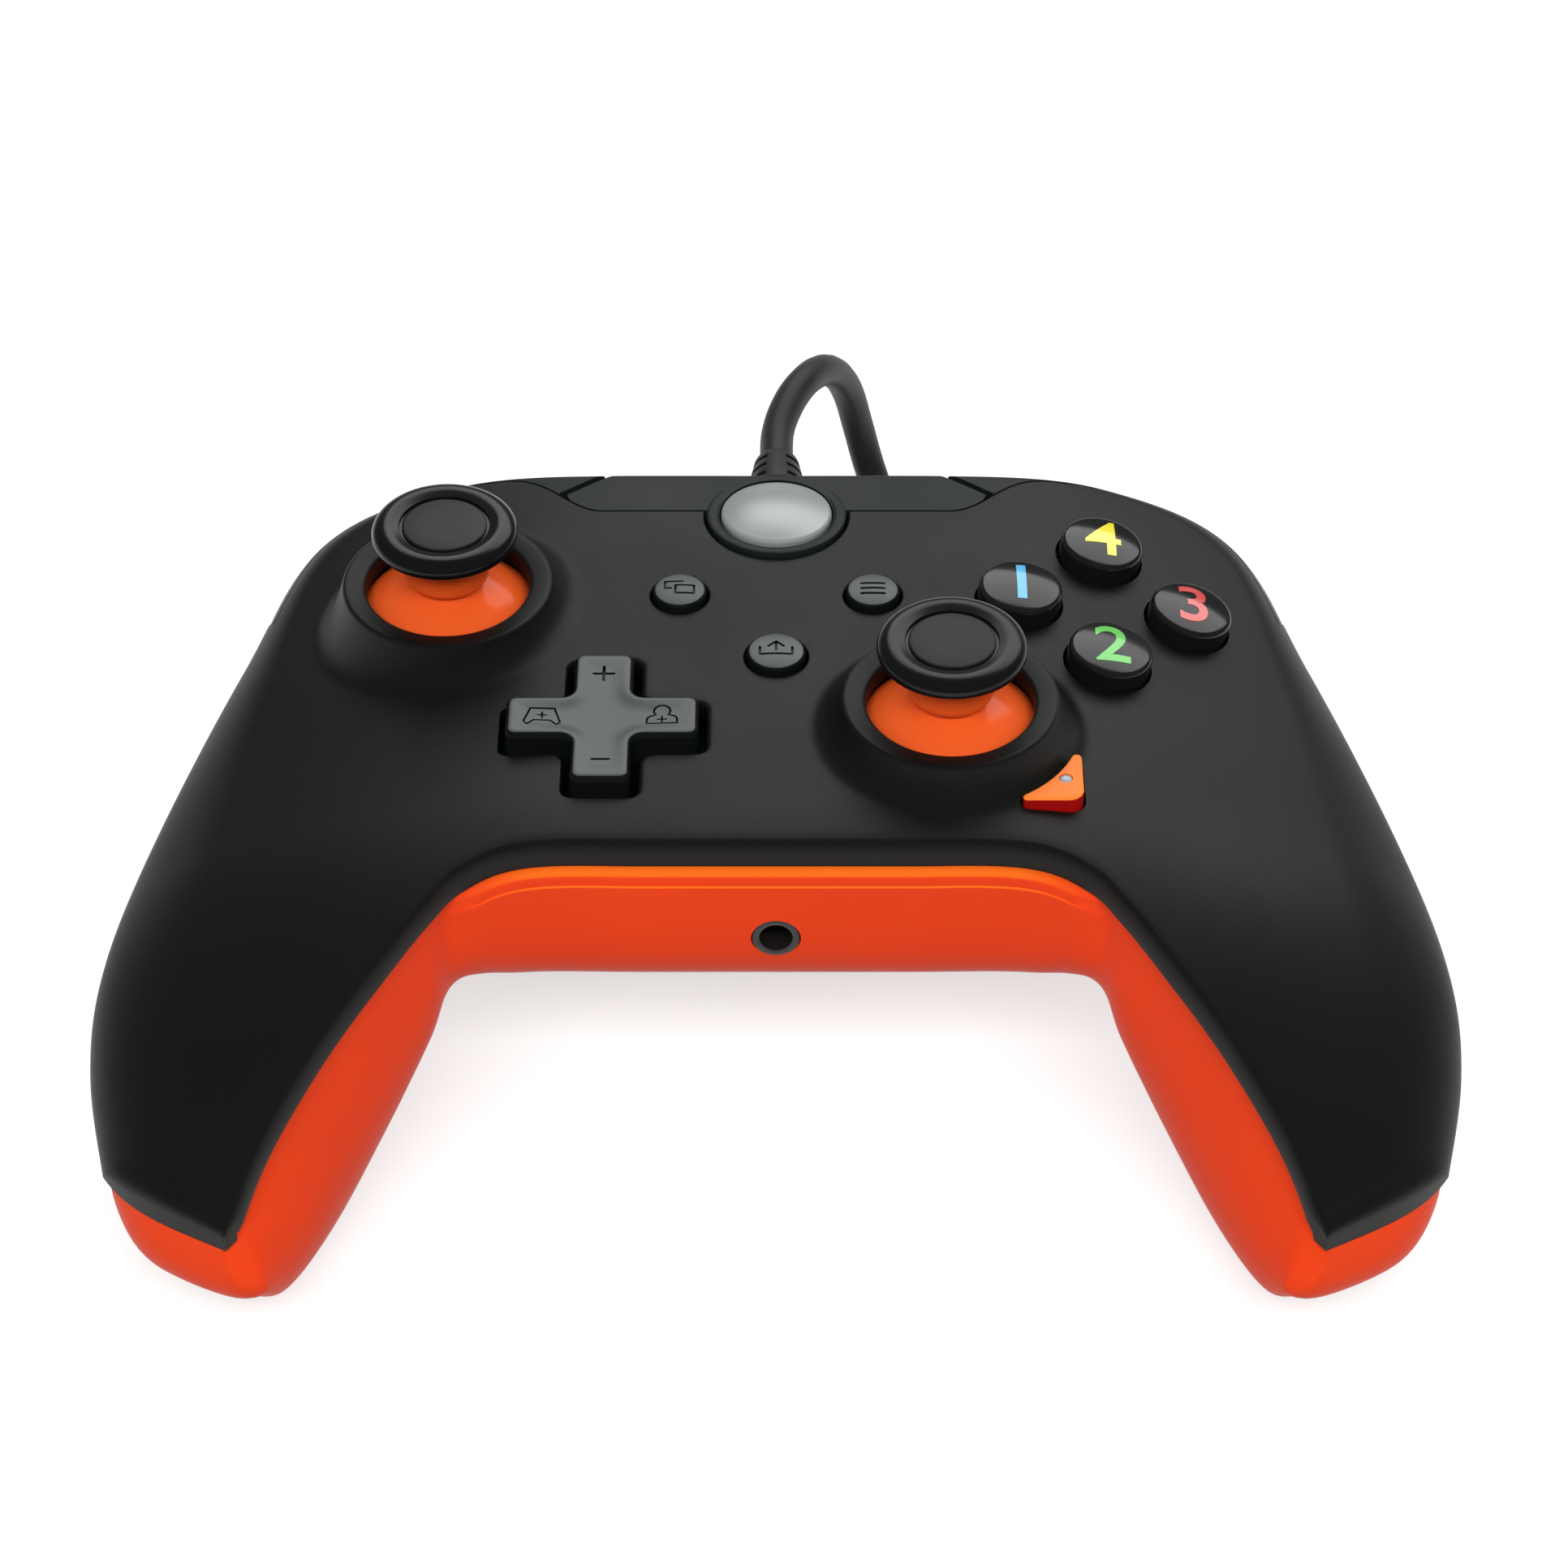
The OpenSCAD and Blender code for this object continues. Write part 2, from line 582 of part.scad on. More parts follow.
module trigger() {
    x = trigger_x;
    y = trigger_y;
    blade = concat(
        [for (i = [0 : 8]) bez([7, 3], [12.5, 2], [12.6, -5], [12.8, -9], i / 8)],
        [for (i = [1 : 6]) bez([12.8, -9], [13, -11.5], [13.4, -14], [15.2, -16.6], i / 6)],
        [for (i = [1 : 4]) bez([15.2, -16.6], [15, -18.2], [13.2, -17.8], [12.4, -16.6], i / 4)],
        [for (i = [1 : 8]) bez([12.4, -16.6], [9.4, -12], [8.5, -3.4], [0, -3.2], i / 8)]
    );
    difference() {
        intersection() {
            union() {
                translate([x, y, trigger_z]) rotate([90, 0, 90]) linear_extrude(trigger_w)
                    polygon(concat(blade, [[-1, 0], [0, 3]]));
                translate([x, y, trigger_z]) rotate([0, 90, 0]) cylinder(r = 3.2, h = trigger_w);
            }
            translate([x + trigger_w / 2, y - 12, trigger_z - 25]) linear_extrude(40)
                translate([0, 15]) polygon(round_rect(trigger_w, 30.2 + 12, 6));
        }
        translate([x - 1, y, trigger_z]) rotate([0, 90, 0]) cylinder(d = pin_d + 2 * free, h = trigger_w + 2);
        translate([x + 4, y, trigger_z]) rotate([0, 90, 0]) cylinder(r = 3.5, h = 6);
        translate([x + 4, y - 4, trigger_z - 3.5]) cube([6, 4, 7]);
    }
}

module left_trigger() {
    color("#262728") mirror([1, 0, 0]) trigger();
}

module right_trigger() {
    color("#262728") trigger();
}

module trigger_pin() {
    translate([trigger_x - 1 - lug_t, trigger_y, trigger_z]) rotate([0, 90, 0])
        cylinder(d = pin_d, h = trigger_w + 2 + 2 * lug_t);
}

module left_trigger_pin() {
    color("#b9bcbf") mirror([1, 0, 0]) trigger_pin();
}

module right_trigger_pin() {
    color("#b9bcbf") trigger_pin();
}

module trigger_spring() {
    translate([trigger_x + 4.3, trigger_y, trigger_z]) rotate([0, 90, 0]) difference() {
        cylinder(r = 2.6, h = 5.4);
        translate([0, 0, -1]) cylinder(d = pin_d + 4 * free, h = 8);
    }
}

module left_trigger_spring() {
    color("#a5a8ab") mirror([1, 0, 0]) trigger_spring();
}

module right_trigger_spring() {
    color("#a5a8ab") trigger_spring();
}

module trigger_frame() {
    x0 = trigger_x - 0.7 - lug_t;
    x1 = trigger_x + trigger_w + 0.7;
    y0 = trigger_y - 5.3;
    color("#1c1d1e") difference() {
        union() {
            translate([-x1 - lug_t, y0, board_z - board_t]) cube([2 * (x1 + lug_t), 1.8, 5]);
            both() for (x = [x0, x1]) translate([x, y0, trigger_z - lug_low]) cube([lug_t, 7.3, 3 + lug_low]);
            both() translate([bumper_x, y0, bumper_z]) rotate([-90, 0, 0]) cylinder(d = bumper_pin_d, h = 9);
            both() translate([bumper_x - 2.2, y0, board_z]) cube([2.4, 1.8, bumper_z - board_z + 1]);
        }
        both() translate([0, trigger_y, trigger_z]) rotate([0, 90, 0]) cylinder(d = pin_d + 0.04, h = 80);
    }
}

module at_stick(p) {
    translate([p[0], p[1], pivot_z + p[2]]) children();
}

stem_top = face_h + cap_top - pivot_z;

module stick_cap() {
    r = cap_d / 2;
    g = cap_d * 0.29;
    t = stem_top;
    color("#1f2022") rotate_extrude() polygon(concat(
        [[0, t - 3.2], [r - 2.6, t - 3.6]],
        [for (i = [0 : 12]) let (a = -90 + 15 * i) [r - 1.8 + 1.8 * cos(a), t - 1.8 + 1.8 * sin(a)]],
        [[r - 2.4, t - 0.1], [r - 3, t - 0.5], [g + 0.5, t - 0.8], [g + 0.3, t - 1.2]],
        [[g, t - 1.2], [g - 0.2, t - 0.8], [0, t - 0.6]]
    ));
}

module left_stick_cap() {
    at_stick(stick_l) stick_cap();
}

module right_stick_cap() {
    at_stick(stick_r) stick_cap();
}

dome_t = 1.2;

module stick_post() {
    ro = dome_d / 2;
    ri = ro - dome_t;
    h = stem_top - 3.7;
    color("#ef5a24") rotate_extrude() polygon(concat(
        [[0, -1.4], [post_d / 2, -1.4], [post_d / 2, ri - 3.2], [2.6, ri - 1.6]],
        [for (i = [0 : 10]) let (a = 14 + 5.2 * i) [ri * sin(a), ri * cos(a)]],
        [for (i = [0 : 10]) let (a = 66 - 4.2 * i) [ro * sin(a), ro * cos(a)]],
        [[5, ro - 0.4], [4.8, ro + 0.6], [5, h - 1.5], [5.2, h], [0, h]]
    ));
}

module left_stick_post() {
    at_stick(stick_l) stick_post();
}

module right_stick_post() {
    at_stick(stick_r) stick_post();
}

rocker_r = post_d / 2 + 0.8;
rocker_pin = 0.7;
yoke_r = rocker_r + 0.45;

module stick_rocker() {
    color("#d8d8d4") difference() {
        union() {
            translate([0, 0, -1]) cylinder(r = rocker_r, h = 2);
            rotate([90, 0, 0]) cylinder(r = rocker_pin, h = 2 * yoke_r + 1.8, center = true);
        }
        translate([0, 0, -3]) cylinder(r = post_d / 2 + free, h = 6);
    }
}

module left_stick_rocker() {
    at_stick(stick_l) stick_rocker();
}

module right_stick_rocker() {
    at_stick(stick_r) stick_rocker();
}

module stick_lower_yoke() {
    color("#3a3b3c") difference() {
        union() {
            translate([0, 0, -1.2]) cylinder(r = yoke_r + 1, h = 2.4);
            rotate([0, 90, 0]) cylinder(r = 0.9, h = module_w - 0.4, center = true);
        }
        translate([0, 0, -3]) cylinder(r = yoke_r, h = 6);
        rotate([90, 0, 0]) cylinder(r = rocker_pin + free, h = 20, center = true);
    }
}

module left_stick_lower_yoke() {
    at_stick(stick_l) stick_lower_yoke();
}

module right_stick_lower_yoke() {
    at_stick(stick_r) stick_lower_yoke();
}

module stick_upper_yoke() {
    arm = yoke_r + 1.4;
    color("#e8e6e0") difference() {
        union() {
            for (s = [-1, 1]) {
                translate([-1.4, s * (arm + 0.45) - 0.45, -1.2]) cube([2.8, 0.9, 5.2]);
                translate([0, s * arm, 0]) rotate([-90 * s, 0, 0])
                    cylinder(r = 0.9, h = module_w / 2 - 0.2 - arm);
            }
            translate([-2.6, -arm - 0.9, 3.1]) cube([5.2, 2 * arm + 1.8, 0.9]);
        }
        translate([-post_d / 2 - 0.15, -arm + 0.5, 2]) cube([post_d + 0.3, 2 * arm - 1, 4]);
    }
}

module left_stick_upper_yoke() {
    at_stick(stick_l) stick_upper_yoke();
}

module right_stick_upper_yoke() {
    at_stick(stick_r) stick_upper_yoke();
}

module stick_module(drop) {
    w = module_w;
    low = board_z - pivot_z - drop;
    color("#9fa2a4") difference() {
        translate([-w / 2, -w / 2, low]) cube([w, w, 4.6 - low]);
        translate([-w / 2 + 1, -w / 2 + 1, low + 0.8]) cube([w - 2, w - 2, 20]);
        rotate([0, 90, 0]) cylinder(r = 0.9 + free, h = 30, center = true);
        rotate([90, 0, 0]) cylinder(r = 0.9 + free, h = 30, center = true);
    }
}

module left_stick_module() {
    at_stick(stick_l) stick_module(stick_l[2]);
}

module right_stick_module() {
    at_stick(stick_r) stick_module(stick_r[2]);
}

ball_z = face_h - 5.5;
ball_r = 2.4;

module direction_pad() {
    h = pad_span / 2;
    a = pad_arm / 2;
    color("#4a4f4e") translate([pad_at[0], pad_at[1], 0]) difference() {
        union() {
            translate([0, 0, face_h - 4]) linear_extrude(5.2) polygon(cross_pts(h, a, 1.4, 1));
            translate([0, 0, face_h + 1.2]) linear_extrude(0.7)
                polygon(cross_pts(h - 0.6, a - 0.6, 1.9, 0.8));
            translate([0, 0, face_h - 5.2]) cylinder(r = 7.5, h = 1.6);
        }
        translate([0, 0, ball_z]) sphere(r = ball_r + 0.08);
        translate([0, 0, face_h + 20.6]) sphere(r = 20);
        for (s = [-1, 1]) translate([-1.3, s * (h - 3.4) - 0.3, face_h + 1.4]) cube([2.6, 0.6, 2]);
        translate([-0.3, h - 4.7, face_h + 1.4]) cube([0.6, 2.6, 2]);
    }
}

module pad_ball() {
    color("#c8cacc") translate([pad_at[0], pad_at[1], ball_z]) sphere(r = ball_r);
}

plunger = 2.4;
menu_drop = 2.6;
menu_travel = 0.8;
menu_rise = 0.9;

// Round button: top edge rolled over, a flange to keep it in, and a plunger.
module round_button(d, rise, drop, dome, foot = 0.5) {
    r = d / 2;
    e = 0.7;
    rotate_extrude() polygon(concat(
        [[0, -drop - plunger], [r * foot, -drop - plunger], [r * foot, -drop - 1], [r + 1, -drop - 1]],
        [[r + 1, -drop], [r, -drop]],
        [for (i = [0 : 4]) [r - e + e * cos(22.5 * i), rise - e + e * sin(22.5 * i)]],
        [[r * 0.6, rise + dome * 0.6], [r * 0.3, rise + dome * 0.92], [0, rise + dome]]
    ));
}

module face_button(a) {
    p = faces_at + face_pitch * [cos(a), sin(a)];
    on_face(p[0], p[1]) round_button(face_d, face_rise - 0.3, 4.2, 0.45);
}

module face_button_top() {
    color("#1d1e1f") face_button(90);
}

module face_button_left() {
    color("#1d1e1f") face_button(180);
}

module face_button_right() {
    color("#1d1e1f") face_button(0);
}

module face_button_bottom() {
    color("#1d1e1f") face_button(270);
}

module view_button() {
    color("#2b2c2d") translate([-menu_x, menu_y, face_h]) round_button(menu_d, menu_rise, menu_drop, 0.25);
}

module menu_button() {
    color("#2b2c2d") translate([menu_x, menu_y, face_h]) round_button(menu_d, menu_rise, menu_drop, 0.25);
}

module share_button() {
    color("#2b2c2d") translate([0, share_y, face_h]) round_button(share_d, menu_rise, menu_drop, 0.25);
}

module home_button() {
    color("#aeb4b0") translate([0, home_y, face_h]) round_button(home_d, 0.6, menu_drop, 1.1, 0.7);
}

key_z = face_z(led_at[0], led_at[1]);

module function_button() {
    foot = 4.4;
    flange = 0.8;
    color("#e2491f") difference() {
        union() {
            translate([0, 0, key_z - foot]) linear_extrude(foot + key_top) polygon(key_pts(0));
            translate([0, 0, key_z - foot - flange]) linear_extrude(flange + 0.1) polygon(key_pts(0.6));
        }
        translate([led_at[0], led_at[1], key_z]) cylinder(d = led_d + free, h = 2 * key_top);
    }
}

module function_led() {
    color("#8c8c88") translate([led_at[0], led_at[1], key_z + free])
        cylinder(d = led_d, h = key_top - 2 * free);
}

membrane_t = 1;

module dome(h) {
    cylinder(r1 = 3, r2 = 2.2, h = h);
}

module face_membrane() {
    color("#7d8084") {
        translate([faces_at[0], faces_at[1], board_z + 0.05]) linear_extrude(membrane_t)
            polygon(round_rect(26, 26, 6));
        for (a = [0 : 90 : 270]) let (p = faces_at + face_pitch * [cos(a), sin(a)], t = face_tilt(p[0]))
            translate([p[0] - 9 * sin(t), p[1], board_z + 0.05 + membrane_t / 2])
                dome(face_z(p[0], p[1]) - 9 - board_z - membrane_t / 2);
    }
}

module pad_membrane() {
    color("#7d8084") translate([pad_at[0], pad_at[1], board_z + 0.05]) difference() {
        union() {
            linear_extrude(membrane_t) polygon(round_rect(24, 24, 5));
            for (a = [0 : 90 : 270]) rotate(a) translate([8, 0, 0]) dome(ball_z - board_z - 3.4);
            cylinder(r = 3, h = ball_z - board_z - 0.6);
        }
        translate([0, 0, ball_z - board_z - 0.05]) sphere(r = ball_r + 0.08);
    }
}

module center_membrane() {
    h = board_d - menu_drop - plunger - menu_travel - 0.35;
    color("#7d8084") translate([0, 0, board_z + 0.05]) {
        translate([0, menu_y + 3, 0]) linear_extrude(membrane_t) polygon(round_rect(2 * menu_x + 8, 18, 4));
        translate([0, share_y + 2, 0]) linear_extrude(membrane_t) polygon(round_rect(12, 14, 3));
        for (p = [[-menu_x, menu_y], [menu_x, menu_y], [0, share_y]]) translate([p[0], p[1], 0]) dome(h);
        translate([0, home_y - 6.4, 0]) dome(h);
    }
}

module main_board() {
    y0 = jack_y + 1.8;
    y1 = trigger_y - 6.6;
    slot = jack_w + 2 * panel_gap;
    color("#1f6b3d") translate([0, 0, board_z - board_t]) difference() {
        translate([0, (y0 + y1) / 2, 0]) linear_extrude(board_t) polygon(round_rect(2 * board_x, y1 - y0, 5));
        translate([-slot / 2, y0 - 1, -1]) cube([slot, jack_len + 1, board_t + 2]);
    }
}

jack_z = face_h - 13.7;
jack_w = 7;
nose_d = jack_bore + 1.6;
nose_len = wall + 1.2;
jack_y = nose_len + 0.2 - front_y - wall_out;

module audio_jack() {
    color("#242526") difference() {
        union() {
            translate([-jack_w / 2, jack_y, jack_z - 3.2]) cube([jack_w, jack_len - nose_len + 1, 6.4]);
            translate([0, jack_y + 1, jack_z]) rotate([90, 0, 0]) cylinder(d = nose_d, h = nose_len + 1);
        }
        translate([0, jack_y - nose_len + jack_len, jack_z]) rotate([90, 0, 0])
            cylinder(d = jack_bore, h = 2 * jack_len);
    }
}

motor_at = [half_w - 15.5, 26.5 - grip_reach, face_h - 29];
motor_len = 18;
motor_free = 0.6;
shaft_len = 7;
shaft_r = 1;
weight_t = 6;

module rumble_motor() {
    translate(motor_at) rotate([-90, 0, 0]) {
        translate([0, 0, motor_free]) cylinder(d = motor_d, h = motor_len);
        translate([0, 0, -shaft_len]) cylinder(r = shaft_r, h = shaft_len + 1);
    }
}

module left_rumble_motor() {
    color("#b4b6b8") mirror([1, 0, 0]) rumble_motor();
}

module right_rumble_motor() {
    color("#b4b6b8") rumble_motor();
}

module rumble_weight() {
    translate(motor_at) rotate([90, 0, 0]) difference() {
        union() {
            intersection() {
                cylinder(d = weight_d, h = weight_t);
                translate([-weight_d, -2 * weight_d, -1]) cube([2 * weight_d, 2 * weight_d, weight_t + 2]);
            }
            cylinder(r = 2.4, h = weight_t);
        }
        translate([0, 0, -1]) cylinder(r = shaft_r + free, h = weight_t + 2);
    }
}

module left_rumble_weight() {
    color("#8d8f91") mirror([1, 0, 0]) rumble_weight();
}

module right_rumble_weight() {
    color("#8d8f91") rumble_weight();
}

module housing_screws() {
    bite = 6;
    color("#c2c4c6") both() for (i = [0, 1])
        translate([screw_at[i][0], screw_at[i][1], screw_seat[i] - head_h - 0.02]) {
            cylinder(d = head_d, h = head_h);
            cylinder(d = screw_d, h = screw_join[i] + bite - screw_seat[i]);
        }
}

module cord_relief() {
    c = relief_d / 2;
    y0 = rear_y - 4.4;
    n = 3;
    pitch = 2.1;
    first = 7.4;
    end = relief_end - y0;
    color("#202122") translate([0, y0, cord_z]) rotate([-90, 0, 0]) rotate_extrude() polygon(concat(
        [[cord_r + 0.1, 0], [c + 0.6, 0], [c + 0.6, 1.6], [c - 0.3, 1.6]],
        [[c - 0.3, 5.3], [c, 5.5], [c, first]],
        [for (i = [0 : n - 1]) each let (r = c - 0.1 - 0.2 * i, y = first + pitch * i)
            [[r - 0.7, y + 0.1], [r - 0.7, y + 0.9], [r, y + 1.1], [r, y + 2]]],
        [[c - 0.8, end - 1.2], [cord_r + 0.6, end - 0.4], [cord_r + 0.1, end]]
    ));
}

// Tube along a list of points: one ring a point, square to the path.
module tube(pts, r, sides) {
    n = len(pts);
    dirs = [for (i = [0 : n - 1]) let (d = pts[min(n - 1, i + 1)] - pts[max(0, i - 1)]) d / norm(d)];
    ups = frames(dirs, 0, [0, 0, 1]);
    ring = [for (i = [0 : n - 1], k = [0 : sides - 1])
        let (u = ups[i], v = cross(dirs[i], u), a = 360 * (k + 0.5) / sides)
        pts[i] + r * (u * sin(a) + v * cos(a))];
    faces = concat(
        [[for (k = [0 : sides - 1]) k]],
        [for (i = [0 : n - 2], k = [0 : sides - 1]) let (a = i * sides + k, b = i * sides + (k + 1) % sides)
            each [[a, a + sides, b + sides], [a, b + sides, b]]],
        [[for (k = [sides - 1 : -1 : 0]) (n - 1) * sides + k]]
    );
    polyhedron(points = ring, faces = faces, convexity = 10);
}

function frames(dirs, i, up) =
    let (s = up - dirs[i] * (up * dirs[i]), u = s / norm(s))
    i == len(dirs) - 1 ? [u] : concat([u], frames(dirs, i + 1, u));

function smooth_path(p, n) = concat(
    [for (i = [0 : len(p) - 2], k = [0 : n - 1])
        spline(p[max(0, i - 1)], p[i], p[i + 1], p[min(len(p) - 1, i + 2)], k / n)],
    [p[len(p) - 1]]
);

function coil_pt(s) =
    let (
        n = coil_in,
        r = s < n + 0.25 ? coil_r - coil_pitch * s : coil_r - coil_pitch * (2 * n + 0.5 - s),
        t = max(0, min(1, (s - n) / 0.5)),
        z = coil_z + coil_pitch * t * t * (3 - 2 * t)
    )
    [coil_at[0] + r * cos(-360 * s), coil_at[1] + r * sin(-360 * s), z];

coil_turns = coil_in + 0.5 + coil_out;
coil_pts = concat(
    [[coil_start[0], coil_start[1], coil_z]],
    [for (i = [0 : 24 * coil_turns]) coil_pt(i / 24)],
    [[coil_stop[0], coil_stop[1], coil_z + coil_pitch]]
);
module cord() {
    color("#232425") tube(smooth_path(cord_route, 2), cord_r, 10);
}

module cord_coil() {
    color("#232425") tube(coil_pts, cord_r, 6);
}

module cord_tail() {
    color("#232425") tube(smooth_path(tail_route, 2), cord_r, 10);
}

plug_w = 16;
plug_len = 26;

module plug_body() {
    color("#1e1f20") translate([plug_x, plug_y, plug_z]) difference() {
        rotate([90, 0, 90]) linear_extrude(plug_len) polygon(round_rect(plug_w, plug_h, 2));
        translate([plug_len - 6, -6.1, -2.35]) cube([10, 12.2, 4.7]);
    }
}

module plug_shell() {
    t = 0.3;
    size = [18, 12, 4.5];
    tongue = 1.85;
    color("#c9cbcd") translate([plug_x + plug_len - 5.95, plug_y, plug_z]) difference() {
        translate([0, -size[1] / 2, -size[2] / 2]) cube(size);
        translate([6, t - size[1] / 2, t + tongue - size[2] / 2])
            cube([size[0], size[1] - 2 * t, size[2] - 2 * t - tongue]);
    }
}

front_shell();
rear_shell();
center_bridge();
left_bumper();
right_bumper();
left_trigger();
right_trigger();
left_trigger_pin();
right_trigger_pin();
left_trigger_spring();
right_trigger_spring();
trigger_frame();
left_stick_cap();
right_stick_cap();
left_stick_post();
right_stick_post();
left_stick_rocker();
right_stick_rocker();
left_stick_lower_yoke();
right_stick_lower_yoke();
left_stick_upper_yoke();
right_stick_upper_yoke();
left_stick_module();
right_stick_module();
direction_pad();
pad_ball();
face_button_top();
face_button_left();
face_button_right();
face_button_bottom();
view_button();
menu_button();
share_button();
home_button();
function_button();
function_led();
face_membrane();
pad_membrane();
center_membrane();
main_board();
audio_jack();
left_rumble_motor();
right_rumble_motor();
left_rumble_weight();
right_rumble_weight();
housing_screws();
cord_relief();
cord();
cord_coil();
cord_tail();
plug_body();
plug_shell();
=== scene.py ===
import math

import bmesh
import bpy
import numpy as np
from mathutils import Euler, Matrix, Vector


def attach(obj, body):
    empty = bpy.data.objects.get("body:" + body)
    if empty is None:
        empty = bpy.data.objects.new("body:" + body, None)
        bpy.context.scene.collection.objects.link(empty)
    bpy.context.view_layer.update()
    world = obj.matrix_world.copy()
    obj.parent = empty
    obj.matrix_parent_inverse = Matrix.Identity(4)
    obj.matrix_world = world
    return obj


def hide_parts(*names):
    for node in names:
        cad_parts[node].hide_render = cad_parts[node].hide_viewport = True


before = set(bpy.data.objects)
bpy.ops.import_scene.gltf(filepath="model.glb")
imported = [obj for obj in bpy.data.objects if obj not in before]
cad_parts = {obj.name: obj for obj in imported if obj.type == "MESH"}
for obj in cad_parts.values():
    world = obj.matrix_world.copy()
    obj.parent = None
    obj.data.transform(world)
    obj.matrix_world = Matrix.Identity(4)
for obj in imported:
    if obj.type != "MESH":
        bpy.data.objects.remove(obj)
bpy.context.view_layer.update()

# Sizes are millimetres in the part's own frame; MM turns them into Blender's metres.
MM = 0.001
BODY_W = 155.0
HALF_W = BODY_W / 2
REAR_Y = 51.5
FRONT_Y = 19.5
FRONT_HALF = 32.0
SHOULDER_X = 56.5
GRIP_REACH = 57.5
FACE_H = 46.0
BELLY_D = 25.6
WALL = 2.2
LIP_H = 3.0
LIP_R = 1.1
SEAM = 0.2
GAP = 0.3
FLAT_HALF = 18.0
SIDE_CURVE = 0.004
GRIP_TURN = 12.0
GRIP_CURVE = 0.0095
BRIDGE_H = 16.0
BUMPER_H = 12.0
FOOT_CUT = 0.4
END_U = 8
TIP_U = 7.8
LID_U = 7.45
TIP_CAP = 2.4
END_DROP = 1.0
NOSE = 2.5
NOSE_FULL = 3.0
NOSE_START = 22.0
NOSE_END = 84.0
NOSE_ROWS = 16
END_WEB = 0.02
PLATE_WEB = 0.03
ARC_IN = 0.22
ARC_OUT = 0.64

# Sticks, buttons and pad
STICKS = {"left": (-39.0, 24.2, -1.8), "right": (20.0, 0.5, 0.0)}
PIVOT_Z = FACE_H - 9
CAP_D = 17.2
CAP_RIM_W = 1.9
CAP_RIM_H = 1.4
DISC_R = CAP_D * 0.29
STEM_TOP = 22.2
WELL_D = 19.4
RING_D = 24.7
RING_H = 4.2
DOME_D = 28.4
COLLAR_R = 17.0
COLLAR_FLARE = 4.5
PAD_AT = (-20.0, 0.5)
PAD_SPAN = 22.2
PAD_ARM = 6.9
PAD_GAP = 0.9
PAD_RISE = 1.9
PAD_DISH = 0.4
FACES_AT = (39.0, 24.2)
FACE_PITCH = 10.1
FACE_D = 10.0
FACE_RISE = 2.8
FACE_DOME = 0.45
DIGIT_SIZE = 9.0
DIGIT_T = 0.12
MENU_AT = (11.5, 24.8)
MENU_D = 6.4
SHARE_Y = 13.3
SHARE_D = 6.9
HOME_Y = 40.5
HOME_D = 13.5
BEZEL_D = 17.0
HOME_LEAN = 0.08
BEZEL_LEAN = 0.05
KEY_R = 15.0
KEY_TOP = 1.7
HEEL_AT = (33.1, -11.2)
HEEL_ROUND = 1.8
TIP_ROUND = 0.5
HORN_ROUND = 0.6
LED_AT = (32.9, -9.4)
LED_D = 1.4
HOLE_DEPTH = 12.0
HOLE_EDGE = 0.25
ENGRAVED = 0.62
MARK_FLOOR = 0.8
MARK_CUT = 3.0

# Rear parts
BRIDGE_Y = 41.1
BUMPER_TOP = 3.2
BUMPER_END = 3.66
TRIGGER_X = 22.8
TRIGGER_W = 25.5
TRIGGER_Y = REAR_Y - 8.5
TRIGGER_Z = FACE_H - 15
JACK_Z = 32.3
JACK_Y = -20.5
JACK_D = 5.5
JACK_BORE = 3.6
JACK_DEPTH = 12.0
SLIT_HALF = 0.45
SCREW_WELL = 5.4

# Cord
CORD_D = 4.2
CORD_Z = 37.0
RELIEF_D = 7.4
RELIEF_END = 62.5
COIL_R = 38.5
COIL_PITCH = 4.7
COIL_AT = (-14.0, 50.0)
COIL_Z = CORD_D / 2 + 0.05
COIL_IN = 4.6
COIL_OUT = 4.4
COIL_CROSS = 0.5
TIE_SIZE = (30.0, 4.4, 9.3)
TIE_T = 0.5
PLUG_AT = (-31.0, 75.5, 13.4)
PLUG_W = 16.0
PLUG_H = 8.0

# Least radius in a profile that starts or ends on its axis
AXIS = 0.001


# Small tools
def lerp(a, b, t):
    return a + (b - a) * t


def smooth(t):
    t = np.clip(t, 0, 1)
    return t * t * (3 - 2 * t)


def spline(a, b, c, d, t):
    return b + 0.5 * t * ((c - a) + t * ((2 * a - 5 * b + 4 * c - d) + t * (3 * b - a - 3 * c + d)))


def smooth_path(points, n):
    p = np.array(points, float)
    last = len(p) - 1
    out = [
        spline(p[max(0, i - 1)], p[i], p[i + 1], p[min(last, i + 2)], k / n)
        for i in range(last) for k in range(n)
    ]
    return out + [p[-1]]


def bezier(a, b, c, d, n):
    a, b, c, d = (np.array(p, float) for p in (a, b, c, d))
    ts = np.linspace(0, 1, n + 1)[:, None]
    return a * (1 - ts) ** 3 + 3 * b * ts * (1 - ts) ** 2 + 3 * c * ts * ts * (1 - ts) + d * ts ** 3


def arc(centre, r, a, b, n):
    angles = np.radians(np.linspace(a, b, n + 1))
    return [(centre[0] + r * math.cos(t), centre[1] + r * math.sin(t)) for t in angles]


def circle(r, n=96, centre=(0, 0)):
    return arc(centre, r, 0, 360, n)[:-1]


def round_rect(w, h, r, n=6):
    quarter = [(w / 2 - r, h / 2 - r, 0), (r - w / 2, h / 2 - r, 90), (r - w / 2, r - h / 2, 180),
               (w / 2 - r, r - h / 2, 270)]
    return [p for x, y, a in quarter for p in arc((x, y), r, a, a + 90, n)]


# Meshes
def link(name, mesh):
    obj = bpy.data.objects.new(name, mesh)
    bpy.context.scene.collection.objects.link(obj)
    return obj


